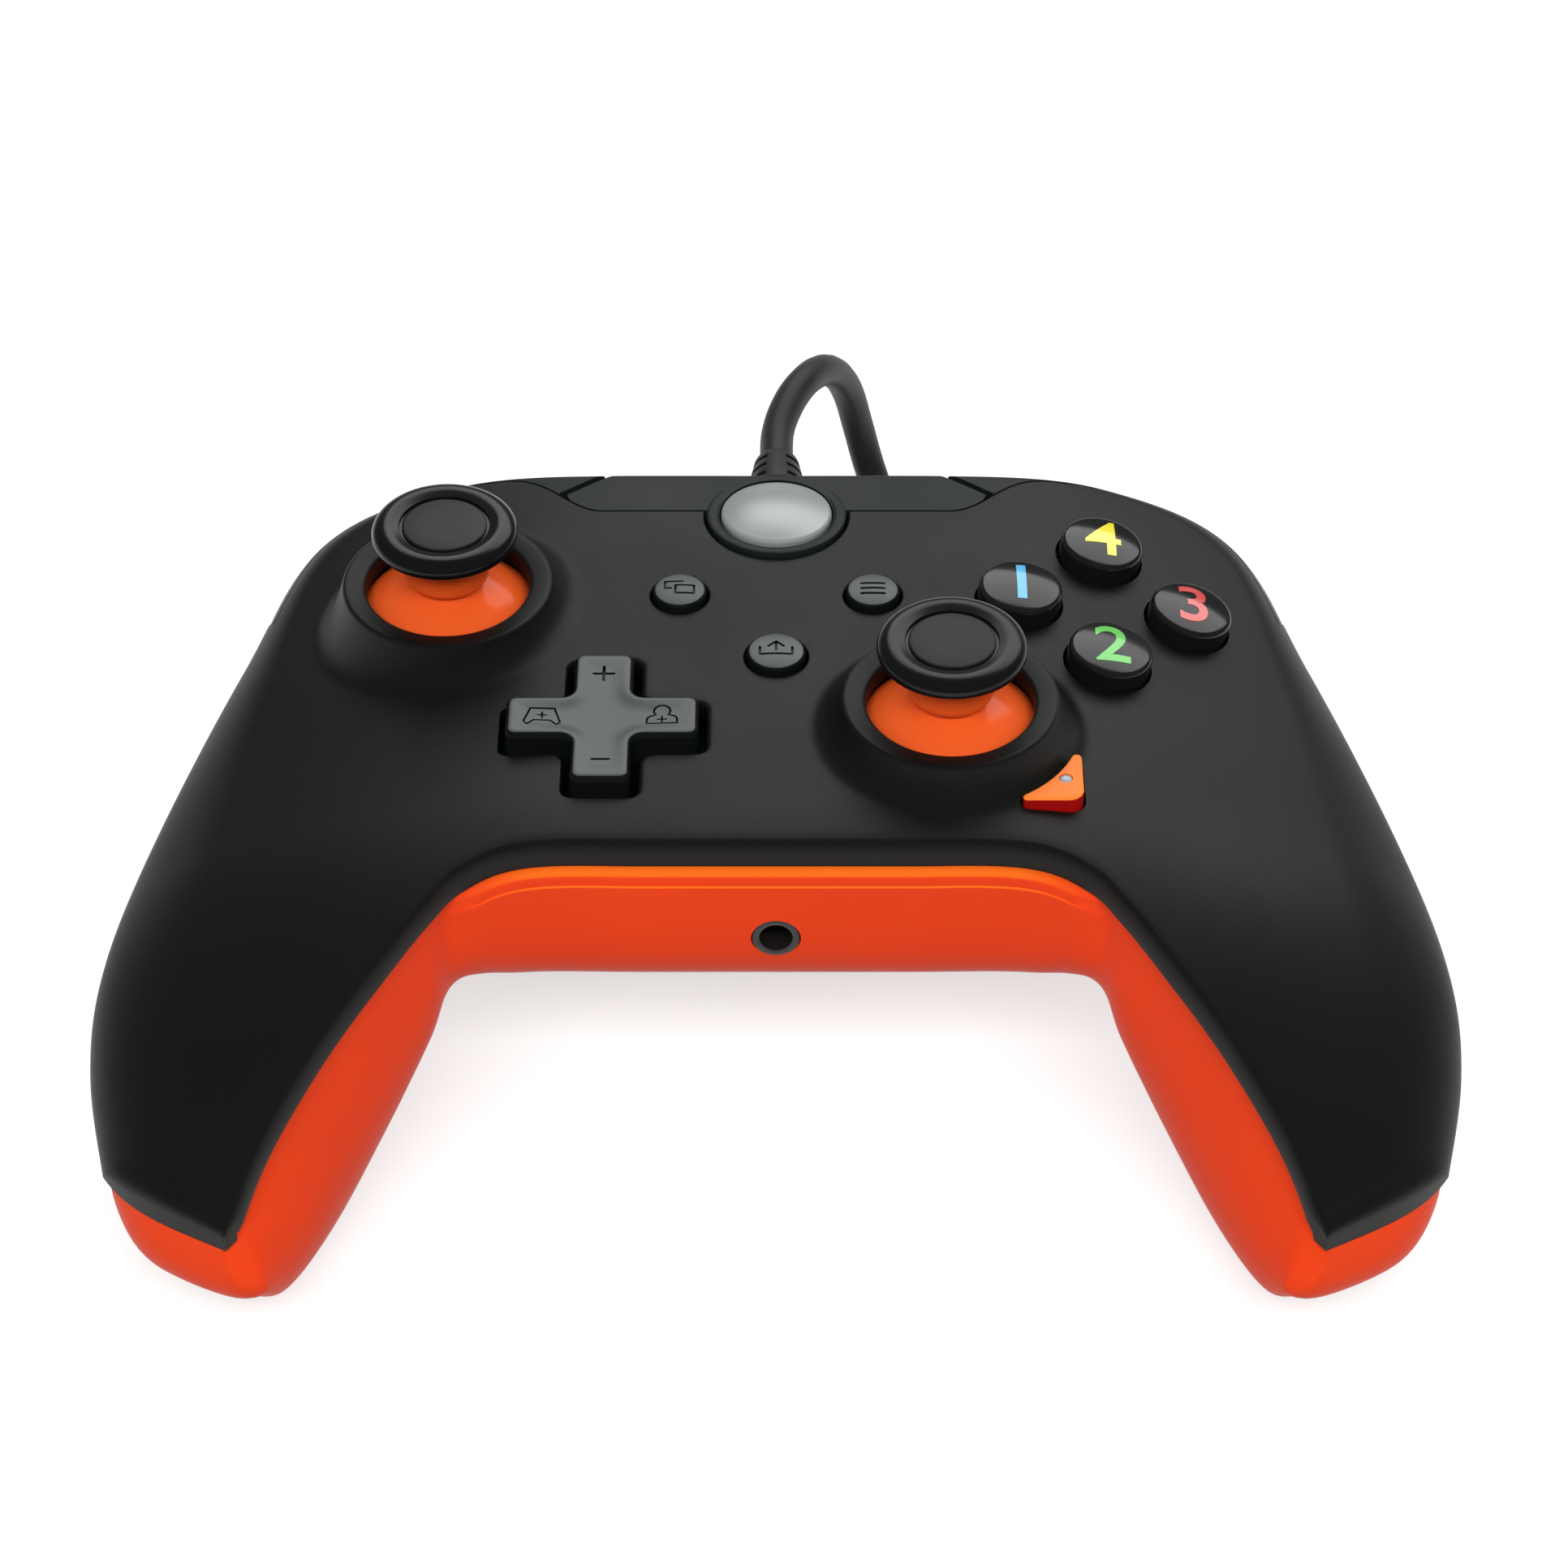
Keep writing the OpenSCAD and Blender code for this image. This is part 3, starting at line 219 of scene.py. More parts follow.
def solid(name, verts, faces):
    """Mesh object from points in millimetres, with its faces turned outward."""
    mesh = bpy.data.meshes.new(name)
    mesh.from_pydata((np.asarray(verts, float) * MM).tolist(), [], [list(map(int, f)) for f in faces])
    bm = bmesh.new()
    bm.from_mesh(mesh)
    bmesh.ops.remove_doubles(bm, verts=bm.verts, dist=1e-8)
    bmesh.ops.recalc_face_normals(bm, faces=bm.faces)
    bm.to_mesh(mesh)
    bm.free()
    return link(name, mesh)


def grid_faces(rows, cols, start=0, around=False):
    span = cols if around else cols - 1
    return [
        (start + k * cols + j, start + k * cols + (j + 1) % cols,
         start + (k + 1) * cols + (j + 1) % cols, start + (k + 1) * cols + j)
        for k in range(rows - 1) for j in range(span)
    ]


def skin(name, outer, inner):
    """Closed shell between two grids of points of the same size."""
    rows, cols = outer.shape[:2]
    n = rows * cols
    faces = grid_faces(rows, cols) + grid_faces(rows, cols, n)
    for k in range(rows - 1):
        for j in (0, cols - 1):
            a, b = k * cols + j, (k + 1) * cols + j
            faces.append((a, b, n + b, n + a))
    for j in range(cols - 1):
        for k in (0, rows - 1):
            a, b = k * cols + j, k * cols + j + 1
            faces.append((a, b, n + b, n + a))
    return solid(name, np.vstack([outer.reshape(-1, 3), inner.reshape(-1, 3)]), faces)


def stack(name, rings, closed=False):
    """Solid through rings of equal counts of points, capped at both ends or closed into a loop."""
    rings = np.array(rings, float)
    rows, cols = rings.shape[:2]
    faces = grid_faces(rows, cols, around=True)
    last = (rows - 1) * cols
    if closed:
        faces += [(last + j, last + (j + 1) % cols, (j + 1) % cols, j) for j in range(cols)]
    else:
        faces += [tuple(range(cols)), tuple(range(last, last + cols))]
    return solid(name, rings.reshape(-1, 3), faces)


def ring(outline, z):
    return [(x, y, z) for x, y in outline]


def prism(name, outline, z0, z1):
    return stack(name, [ring(outline, z0), ring(outline, z1)])


def box(name, low, high):
    (x0, y0, z0), (x1, y1, z1) = low, high
    return prism(name, [(x0, y0), (x1, y0), (x1, y1), (x0, y1)], z0, z1)


def through(outline, down=20.0, up=20.0):
    """Cutter over an outline, from below the face's height to above it."""
    return prism("cut", outline, FACE_H - down, FACE_H + up)


def rod(name, x0, x1, w, h, r, at=(0, 0)):
    """Rounded bar along X, round the line where (y, z) is at."""
    outline = round_rect(w, h, r)
    return stack(name, [[(x, at[0] + a, at[1] + b) for a, b in outline] for x in (x0, x1)])


def flared(name, outline, z, depth, edge, steps=4):
    """Cutter for a hole whose rim at height z is rounded by edge; outline(grow) gives the hole grown."""
    rows = [(0, z - depth), (0, z - edge)]
    angles = np.radians(np.linspace(0, 90, steps + 1)[1:])
    rows += [(edge * (1 - math.cos(a)), z - edge + edge * math.sin(a)) for a in angles]
    rows += [(edge, z + 6)]
    return stack(name, [ring(outline(grow), height) for grow, height in rows])


def revolve(name, profile, n=96, closed=False):
    """Solid of revolution about Z; profile is (radius, height), from axis to axis unless closed."""
    angles = np.linspace(0, 2 * math.pi, n, endpoint=False)
    rings = [[(r * math.cos(a), r * math.sin(a), z) for a in angles] for r, z in profile]
    return stack(name, rings, closed)


def place(obj, at=(0, 0, 0), turn=(0, 0, 0)):
    """Moves an object's points, so that the object itself stays at the origin."""
    spin = Euler([math.radians(a) for a in turn]).to_matrix().to_4x4()
    obj.data.transform(Matrix.Translation(Vector(at) * MM) @ spin)
    return obj



def bore(r, length, at, n=64):
    """Round cutter along Y that starts at a point."""
    return place(prism("cut", circle(r, n), 0, length), at, (-90, 0, 0))


def sided(obj, side, noun):
    """Names a piece made for the right side, and mirrors it for the left."""
    obj.name = f"{side}_{noun}"
    if side == "left":
        obj.data.transform(Matrix.Diagonal((-1, 1, 1, 1)))
        obj.data.flip_normals()
    return obj


def boolean(obj, other, operation="DIFFERENCE"):
    """Applies one cut, join or overlap with another solid, which is then removed."""
    mod = obj.modifiers.new("boolean", "BOOLEAN")
    mod.operation = operation
    mod.solver = "MANIFOLD"
    mod.object = other
    graph = bpy.context.evaluated_depsgraph_get()
    mesh = bpy.data.meshes.new_from_object(obj.evaluated_get(graph))
    obj.modifiers.clear()
    obj.data = mesh
    bpy.data.objects.remove(other)
    return obj


def join(obj, *others):
    """Adds the meshes of other objects to the first one."""
    bm = bmesh.new()
    for part in (obj, *others):
        bm.from_mesh(part.data)
    bm.to_mesh(obj.data)
    bm.free()
    for part in others:
        bpy.data.objects.remove(part)
    return obj


def dress(obj, mat, body, replaces=(), sharp=32):
    """Smooth shading, material, body, slot and the solids that the piece stands for."""
    mesh = obj.data
    mesh.materials.clear()
    mesh.materials.append(mat)
    mesh.polygons.foreach_set("material_index", [0] * len(mesh.polygons))
    mesh.shade_smooth()
    mesh.set_sharp_from_angle(angle=math.radians(sharp))
    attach(obj, body)
    if replaces:
        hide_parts(*replaces)
    return obj


# Housing form: one row per cross-section, from the middle to the grip's end
STATIONS = np.array([
    # Inner x, y, outer x, y, drop of the outer seam, depth, outer edge radius, two roundnesses, inner tuck
    [0, -FRONT_Y, 0, REAR_Y, BRIDGE_H, BELLY_D, 3.5, 5, 4, 0],
    [FRONT_HALF * 0.5, -FRONT_Y, SHOULDER_X * 0.36, REAR_Y, BRIDGE_H, BELLY_D, 3.5, 5, 4, 0],
    [FRONT_HALF * 0.9, -FRONT_Y, SHOULDER_X * 0.72, REAR_Y, BUMPER_H, BELLY_D, 4, 5, 3.6, 0],
    [FRONT_HALF + 3.2, -FRONT_Y - 2.6, SHOULDER_X, REAR_Y - 5.6, BUMPER_H, BELLY_D, 7, 4.5, 3.2, -0.6],
    [FRONT_HALF + 6.8, -FRONT_Y - 6.5, SHOULDER_X + 8.1, REAR_Y - 27, 13, BELLY_D + 6.7, 10, 3.6, 2.8, 2.3],
    [HALF_W - 34, 25.5 - GRIP_REACH, HALF_W - 5.2, 56.5 - GRIP_REACH, 15.5, FACE_H - 5, 13, 3.2, 2.6, 2.6],
    [HALF_W - 27.5, 17.5 - GRIP_REACH, HALF_W - 0.6, 37.5 - GRIP_REACH, 19, FACE_H + FOOT_CUT, 14, 3, 2.5, 4],
    [HALF_W - 21.4, 9 - GRIP_REACH, HALF_W, 24.5 - GRIP_REACH, 23.5, FACE_H - 1, 13, 2.8, 2.4, 5.5],
    [HALF_W - 18, 2 - GRIP_REACH, HALF_W - 3, 9.8 - GRIP_REACH, 28.5, FACE_H - 10.5, 10, 2.6, 2.4, 5.5],
])
FLIP = np.array([-1, 1, -1, 1, 1, 1, 1, 1, 1, 1])
ROWS = np.vstack([STATIONS[1] * FLIP, STATIONS, 2 * STATIONS[-1] - STATIONS[-2]])


def row(us):
    us = np.atleast_1d(np.asarray(us, float))
    v = np.abs(us)
    i = np.minimum(np.floor(v), END_U - 1).astype(int)
    t = (v - i)[:, None]
    r = spline(ROWS[i], ROWS[i + 1], ROWS[i + 2], ROWS[i + 3], t)
    side = np.where(us < 0, -1.0, 1.0)
    r[:, 0] *= side
    r[:, 2] *= side
    return r


def face_z(x, y):
    return (FACE_H - SIDE_CURVE * np.maximum(0, np.abs(x) - FLAT_HALF) ** 2
            - GRIP_CURVE * np.maximum(0, -GRIP_TURN - y) ** 2)


def face_tilt(x):
    return math.copysign(math.degrees(math.atan(2 * SIDE_CURVE * max(0, abs(x) - FLAT_HALF))), x)


def outer_pt(u, inset):
    r = row(u)[0]
    p, q = r[0:2], r[2:4]
    return tuple(q - inset * (q - p) / np.linalg.norm(q - p))


def spans(us):
    r = row(us)[:, None, :]
    p, q = r[..., 0:2], r[..., 2:4]
    length = np.linalg.norm(q - p, axis=-1)
    return r, p, length, (q - p) / length[..., None]


def top_points(us, taus, inset):
    """Upper side of the housing, from the inner lip to the outer parting line."""
    r, p, length, way = spans(us)
    tau = np.asarray(taus, float)[None, :]
    ri = max(0.6, LIP_R - 0.6 * inset)
    ro = np.maximum(1, r[..., 6] - inset)
    a = math.pi / 2 * np.minimum(1, tau / ARC_IN)
    b = math.pi / 2 * np.minimum(1, (1 - tau) / (1 - ARC_OUT))
    flat = lerp(inset + ri, length - inset - ro, (tau - ARC_IN) / (ARC_OUT - ARC_IN))
    s = np.where(tau < ARC_IN, inset + ri * (1 - np.cos(a)),
                 np.where(tau > ARC_OUT, length - inset - ro * (1 - np.cos(b)), flat))
    xy = p + way * s[..., None]
    f = face_z(xy[..., 0], xy[..., 1]) - inset
    zi = face_z(p[..., 0], p[..., 1]) - LIP_H
    zo = FACE_H - r[..., 4]
    z = np.where(tau < ARC_IN, zi + (f - zi) * np.sin(a),
                 np.where(tau > ARC_OUT, zo + (f - zo) * np.sin(b), f))
    return np.concatenate([xy, z[..., None]], -1)


TAUS = np.concatenate([
    np.linspace(0, ARC_IN, 11)[:-1], np.linspace(ARC_IN, ARC_OUT, 54)[:-1], np.linspace(ARC_OUT, 1, 21)])


def face_solid(name, u0, u1, n):
    us = np.linspace(u0, u1, n + 1)
    return skin(name, top_points(us, TAUS, 0), top_points(us, TAUS, WALL))


def end_frame(edge):
    """Foot of each edge point on the chord of a grip's end, its share of the reach, and the way outward."""
    chord = (edge[-1] - edge[0])[:2]
    t = np.clip((edge[:, :2] - edge[0, :2]) @ chord / (chord @ chord), 0, 1)
    way = np.array([chord[1], -chord[0]]) * math.copysign(1, chord[0]) / np.linalg.norm(chord)
    share = 1 - t ** 4
    return edge[0] + (edge[-1] - edge[0]) * t[:, None], share, share[:, None] * way


ROLL_START = math.radians(45)


def plate_end(u):
    """Rows that round the plate over at a grip's end and drop to the seam, with the flat under them."""
    edge = top_points([u], TAUS, 0)[0]
    foot, share, reach = end_frame(edge)
    seam = foot[:, 2] - END_DROP * share
    s0, c0 = math.sin(ROLL_START), math.cos(ROLL_START)
    angles = np.linspace(ROLL_START, math.pi / 2, 12)[1:]
    rows = [((math.sin(a) - s0) / (1 - s0), 0.5 * (c0 - math.cos(a)) / c0) for a in angles]
    rows += [(1.0, 0.75), (1.0, 1.0)]
    plan = [edge[:, :2] + reach * TIP_CAP * f for f, _ in rows]
    outer = [np.column_stack([xy, lerp(edge[:, 2], seam, g)]) for xy, (_, g) in zip(plan, rows)]
    under = [np.column_stack([xy, seam - PLATE_WEB]) for xy in plan]
    return np.array(outer), np.array(under)


def plate_solid():
    us = np.linspace(-TIP_U, TIP_U, 257)
    (left, left_low), (right, right_low) = plate_end(-TIP_U), plate_end(TIP_U)
    outer = np.concatenate([left[::-1], top_points(us, TAUS, 0), right])
    inner = np.concatenate([left_low[::-1], top_points(us, TAUS, WALL), right_low])
    return skin("face_plate", outer, inner)


# Rear shell: rows below the seam as (step past the plate's edge, drop), then the rounded bottom
STEP_IN = 1.0
LEDGE = np.array([(-1.2, 0.0), (0.0, 0.0), (0.4, 0.08), (0.72, 0.29), (0.93, 0.62), (1.0, 1.0),
                  (1.0, 1.95), (1.2, 2.1), (1.2, 2.6)])
LEDGE_END_U = 2.6
HALF_ROWS = 26
EVEN = 2.5


def even(w):
    """Spreads points evenly along a superellipse."""
    return w ** EVEN / (w ** EVEN + (1 - w) ** EVEN)


def ledge_share(us):
    """All of the ledge along the front wall, none of it on the grips."""
    return 1 - smooth(np.abs(us) - LEDGE_END_U)


def low_points(us, phi, inset_in, inset_out):
    """Rounded lower side of the housing; phi runs from the inner edge to the outer one."""
    r, p, length, way = spans(us)
    c = np.cos(phi)
    n = np.where(c > 0, r[..., 7], r[..., 8])
    t = 0.5 - 0.5 * np.sign(c) * np.abs(c) ** (2 / n)
    s = lerp(inset_in, length - inset_out, t) - np.where(c > 0, r[..., 9] * np.sin(2 * phi), 0)
    xy = p + way * s[..., None]
    base = lerp(face_z(p[..., 0], p[..., 1]) - LIP_H, FACE_H - r[..., 4], t) - SEAM
    low = FACE_H - r[..., 5] + np.maximum(0, inset_out - STEP_IN)
    z = base - (base - low) * np.abs(np.sin(phi)) ** (2 / n)
    return np.concatenate([xy, z[..., None]], -1)


def rear_outer(us):
    us = np.asarray(us, float)
    r, p, _, _ = spans(us)
    share = ledge_share(us)[:, None]
    height = face_z(p[..., 0], p[..., 1]) - LIP_H - SEAM - FACE_H + r[..., 5]
    step = lerp(-STEP_IN, LEDGE[None, :, 0], share)
    phi = np.arcsin((LEDGE[None, :, 1] / height) ** (r[..., 7] / 2))
    ledge = low_points(us, phi, -step, STEP_IN)
    ratio = phi[:, -1:] / (math.pi / 2)
    x = (ratio / (1 - ratio)) ** (1 / EVEN)
    w = lerp(x / (1 + x), 1, np.linspace(0, 1, HALF_ROWS)[None, 1:])
    first = math.pi / 2 * even(w)
    second = math.pi - math.pi / 2 * even(np.linspace(1, 0, HALF_ROWS)[1:])
    phi = np.concatenate([first, np.tile(second, (len(us), 1))], axis=1)
    return np.concatenate([ledge, low_points(us, phi, -step[:, -1:], STEP_IN)], axis=1)


def nose(u):
    """Rows that close a grip's end below the seam in a rounded nose, with the flat over them."""
    edge = rear_outer([u])[0]
    foot, share, reach = end_frame(edge)
    depth = (foot - edge)[:, 2:]
    full = reach * depth / depth.max() * NOSE_FULL
    first, last = math.radians(NOSE_START), math.radians(NOSE_END)
    outer, over = [], []
    for a in np.linspace(first, last, NOSE_ROWS)[1:]:
        f = (math.sin(a) - math.sin(first)) / (1 - math.sin(first))
        k = math.cos(a) / math.cos(first)
        base = foot + np.column_stack([reach * NOSE * f, -END_DROP * share * f])
        outer.append(base + (edge - foot) * k + np.column_stack([full * f * k, 0 * share]))
        over.append(base + (0, 0, END_WEB))
    return np.array(outer), np.array(over)


def lid(edge):
    """Flat that closes the hollow just short of a grip's end."""
    return end_frame(edge)[0] + (0, 0, END_WEB)


def rear_solid():
    us = np.linspace(-TIP_U, TIP_U, 193)
    outer = rear_outer(us)
    w = np.linspace(0, 1, outer.shape[1])
    phi = np.where(w < 0.5, math.pi / 2 * even(np.clip(2 * w, 0, 1)),
                   math.pi - math.pi / 2 * even(np.clip(2 - 2 * w, 0, 1)))
    inner = low_points(us, phi[None, :], STEP_IN + WALL, STEP_IN + WALL)
    for k in np.flatnonzero(np.abs(us) > LID_U):
        inner[k] = lid(outer[k])
    (left, left_top), (right, right_top) = nose(-TIP_U), nose(TIP_U)
    return skin("rear_cover", np.concatenate([left[::-1], outer, right]),
                np.concatenate([left_top[::-1], inner, right_top]))


# Materials
MIX_SHARE, MIX_FIRST, MIX_SECOND, MIX_OUT = 0, 6, 7, 2


def srgb(*rgb):
    linear = [((c / 255 + 0.055) / 1.055) ** 2.4 if c > 10 else c / 255 / 12.92 for c in rgb]
    return (*linear, 1.0)


def node_material(name):
    mat = bpy.data.materials.new(name)
    mat.use_nodes = True
    return mat, mat.node_tree, mat.node_tree.nodes["Principled BSDF"]


def feed(tree, node, values):
    """Sets a node's sockets to fixed values, or links them to other nodes' outputs."""
    for socket, value in values.items():
        if isinstance(value, bpy.types.NodeSocket):
            tree.links.new(value, node.inputs[socket])
        else:
            node.inputs[socket].default_value = value
    return node


def noise(tree, scale, detail):
    coords = tree.nodes.get("coords")
    if coords is None:
        coords = tree.nodes.new("ShaderNodeTexCoord")
        coords.name = "coords"
    values = {"Scale": scale, "Detail": detail, "Vector": coords.outputs["Object"]}
    return feed(tree, tree.nodes.new("ShaderNodeTexNoise"), values).outputs["Fac"]


def remap(tree, value, low, high, start=0.3, end=0.7):
    values = {"From Min": start, "From Max": end, "To Min": low, "To Max": high, "Value": value}
    return feed(tree, tree.nodes.new("ShaderNodeMapRange"), values).outputs["Result"]


def blend(tree, share, first, second):
    node = tree.nodes.new("ShaderNodeMix")
    node.data_type = "RGBA"
    return feed(tree, node, {MIX_SHARE: share, MIX_FIRST: first, MIX_SECOND: second}).outputs[MIX_OUT]


def calc(tree, operation, *values):
    node = tree.nodes.new("ShaderNodeMath")
    node.operation = operation
    return feed(tree, node, dict(enumerate(values))).outputs[0]


def split(tree, vector):
    return feed(tree, tree.nodes.new("ShaderNodeSeparateXYZ"), {0: vector}).outputs


def plastic(name, colour, rough, grain=1800, height=0.02, drift=0.12, rough_drift=0.06, coat=0.0, spec=0.5):
    """Moulded plastic: colour that drifts a little, roughness that varies, and a fine moulded grain."""
    mat, tree, bsdf = node_material(name)
    broad = noise(tree, 45, 4)
    dark, pale = ((*(min(1, c * k) for c in colour[:3]), 1.0) for k in (1 - drift, 1 + drift))
    bump = tree.nodes.new("ShaderNodeBump")
    feed(tree, bump, {"Strength": 1, "Distance": height * MM, "Height": noise(tree, grain, 2)})
    feed(tree, bsdf, {
        "Base Color": blend(tree, remap(tree, broad, 0, 1), dark, pale),
        "Roughness": remap(tree, broad, rough - rough_drift, rough + rough_drift),
        "Normal": bump.outputs["Normal"],
        "Specular IOR Level": spec,
        "Coat Weight": coat,
        "Coat Roughness": 0.06,
    })
    return mat


def paint_ledge_highlight(mat, colour):
    """Painted highlight: blends in a lighter colour where the front ledge turns upward, fading out toward its
    two ends, in place of the lamp's sheen on that rounding.
    """
    tree = mat.node_tree
    coords = tree.nodes["coords"].outputs
    base = tree.nodes["Principled BSDF"].inputs["Base Color"]
    at = split(tree, coords["Object"])
    up = remap(tree, split(tree, coords["Normal"])["Z"], 0, 1, 0.3, 0.42)
    reach = calc(tree, "ABSOLUTE", at["X"])
    side = remap(tree, reach, 1, 0, (FRONT_HALF - 5) * MM, (FRONT_HALF + 3) * MM)
    front = remap(tree, at["Y"], 1, 0, (3 - FRONT_Y) * MM, (4 - FRONT_Y) * MM)
    mask = calc(tree, "MULTIPLY", calc(tree, "MULTIPLY", up, side), front)
    tree.links.new(blend(tree, mask, base.links[0].from_socket, colour), base)
    return mat


def metal(name, colour, rough, grain=2600, height=0.006, metallic=1.0):
    mat = plastic(name, colour, rough, grain, height, 0.06, 0.08)
    mat.node_tree.nodes["Principled BSDF"].inputs["Metallic"].default_value = metallic
    return mat


SHELL = plastic("shell_matte", srgb(14, 15, 14), 0.46, 2200, 0.014, 0.06, 0.03, spec=0.23)
ORANGE = plastic("shell_orange", srgb(229, 66, 26), 0.42, 900, 0.004, 0.04, 0.04, spec=0.06)
# Painted highlight: lighter orange on the front ledge's upturned rounding, standing in for the lamp's sheen
# there
paint_ledge_highlight(ORANGE, srgb(236, 104, 28))
GREEN_GREY = plastic("bridge_satin", srgb(22, 29, 26), 0.42, 1500, 0.012, 0.08, 0.04, spec=0.17)
PAD_GREY = plastic("pad_satin", srgb(62, 68, 65), 0.36, 1500, 0.008, 0.06, 0.04, spec=0.45)
# Painted shade: near-black for the sides and engraved floors of the pad and small buttons
PAD_PAINTED_SHADE = plastic("pad_painted_shade", srgb(14, 17, 16), 0.3, 1500, 0.006, 0.08, 0.04, spec=0.1)
GLOSS_BLACK = plastic("button_gloss", srgb(18, 18, 18), 0.16, 600, 0.001, 0.1, 0.03, coat=0.1, spec=0.34)
RUBBER = plastic("stick_rubber", srgb(12, 12, 14), 0.22, 2600, 0.006, 0.08, 0.05, spec=0.26)
RUBBER_DISC = plastic("stick_disc", srgb(15, 16, 18), 0.44, 3400, 0.02, 0.1, 0.05, spec=0.32)
STICK_ORANGE = plastic("stick_orange", srgb(224, 88, 35), 0.16, 700, 0.002, 0.05, 0.03, coat=0.02, spec=0.16)
SILVER = metal("home_silver", srgb(152, 156, 154), 0.36, 5000, 0.004, 0.3)
KEY_ORANGE = plastic("key_top", srgb(240, 124, 46), 0.4, 1500, 0.01, 0.06, 0.05, spec=0.2)
KEY_RED = plastic("key_side", srgb(166, 14, 12), 0.3, 1500, 0.006, 0.08, 0.05)
LED_GREY = plastic("led_lens", srgb(150, 155, 165), 0.25, 1500, 0.004, 0.05, 0.04, coat=0.5)
TRIGGER_BLACK = plastic("trigger_satin", srgb(30, 31, 31), 0.36, 1600, 0.012, 0.08, 0.05)
CORD_BLACK = plastic("cord_rubber", srgb(24, 27, 26), 0.5, 1400, 0.02, 0.1, 0.06, spec=0.4)
JACK_BLACK = plastic("jack_black", srgb(26, 22, 22), 0.3, 1500, 0.004, 0.08, 0.05)
STEEL = metal("steel", srgb(186, 189, 192), 0.3)
DARK_STEEL = metal("weight_steel", srgb(120, 122, 124), 0.4)
INNER = plastic("inner_plastic", srgb(38, 39, 40), 0.45)
WHITE_INNER = plastic("inner_white", srgb(214, 212, 204), 0.4)
SILICONE = plastic("silicone", srgb(125, 128, 132), 0.55, 900, 0.01)
BOARD = plastic("board_green", srgb(24, 92, 52), 0.35, 700, 0.02, 0.2)
DIGIT_COLOURS = {
    "left": ("blue", srgb(62, 176, 226)),
    "bottom": ("green", srgb(88, 190, 76)),
    "right": ("red", srgb(206, 66, 62)),
    "top": ("yellow", srgb(240, 226, 26)),
}
DIGITS = {
    at: plastic("digit_" + tone, colour, 0.3, 900, 0.002, 0.05, coat=0.8)
    for at, (tone, colour) in DIGIT_COLOURS.items()
}


# Camera at the photograph's viewing angle
CAMERA_AT = (0.92, -403.5, 388.5)
CAMERA_TILT = 49.0
LENS = 105.56
SENSOR = 36.0


def make_camera():
    data = bpy.data.cameras.new("camera")
    data.lens = LENS
    data.sensor_width = SENSOR
    cam = link("camera", data)
    cam.location = Vector(CAMERA_AT) * MM
    cam.rotation_euler = (math.radians(CAMERA_TILT), 0, 0)
    bpy.context.scene.camera = cam


# Cord: the listed route, the coil's turns by formula, and the tail up to the plug
CORD_ROUTE = [
    (0, 52, CORD_Z), (0, 61, CORD_Z), (0.1, 69, CORD_Z), (1.5, 75, CORD_Z + 0.4),
    (3.6, 80, CORD_Z + 0.3), (5.9, 85, CORD_Z - 1.6), (7.9, 89.5, CORD_Z - 5.6),
    (9.5, 92.5, CORD_Z - 10.8), (10.9, 93.3, CORD_Z - 17), (12.5, 91.5, 14.5), (15, 87, 9.3),
    (18, 81, 5.2), (21, 74.5, 3), (23.6, 67, 2.3), (24.5, 60, COIL_Z), (24.5, 57, COIL_Z),
    (24.5, 54.2, COIL_Z),
]
TAIL_X = COIL_AT[0] - COIL_R + COIL_PITCH * (COIL_IN - COIL_OUT)
TAIL_Z = COIL_Z + COIL_PITCH
TAIL_ROUTE = [
    (TAIL_X, 54.2, TAIL_Z), (TAIL_X, 56.5, TAIL_Z), (TAIL_X, 59, TAIL_Z),
    (TAIL_X + 1.6, 66, TAIL_Z + 1.4), (TAIL_X + 6.2, 72, PLUG_AT[2] - 2.4),
    (TAIL_X + 13.1, 75, PLUG_AT[2] - 0.7), PLUG_AT,
]


def coil_points(per_turn=72):
    """Turns inward on the floor, then outward again in a second layer on top."""
    s = np.arange(0, COIL_IN + COIL_CROSS + COIL_OUT + 1e-6, 1 / per_turn)
    back = 2 * COIL_IN + COIL_CROSS - s
    r = COIL_R - COIL_PITCH * np.where(s < COIL_IN + COIL_CROSS / 2, s, back)
    a = -2 * math.pi * s
    z = COIL_Z + COIL_PITCH * smooth((s - COIL_IN) / COIL_CROSS)
    return np.stack([COIL_AT[0] + r * np.cos(a), COIL_AT[1] + r * np.sin(a), z], axis=1)


def make_cord():
    lead, tail = (np.array(smooth_path(route, 8)) for route in (CORD_ROUTE, TAIL_ROUTE))
    points = np.concatenate([lead[:-1], coil_points(), tail[1:]])
    data = bpy.data.curves.new("cord_lead", "CURVE")
    data.dimensions = "3D"
    data.bevel_depth = CORD_D / 2 * MM
    data.bevel_resolution = 6
    data.use_fill_caps = True
    data.materials.append(CORD_BLACK)
    line = data.splines.new("POLY")
    line.points.add(len(points) - 1)
    for point, at in zip(line.points, points * MM):
        point.co = (*at, 1)
    line.use_smooth = True
    obj = link("cord_lead", data)
    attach(obj, "root")
    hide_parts("cord", "cord_coil", "cord_tail")
    length = np.linalg.norm(np.diff(points, axis=0), axis=1).sum() * MM
    return obj, float(length)


def sector(name, corners, a0, a1, n=24):
    """Part of a ring: a cross-section of (radius, height) corners swept from one angle to another."""
    angles = np.radians(np.linspace(a0, a1, n))
    return stack(name, [[(r * math.cos(a), r * math.sin(a), z) for r, z in corners] for a in angles])


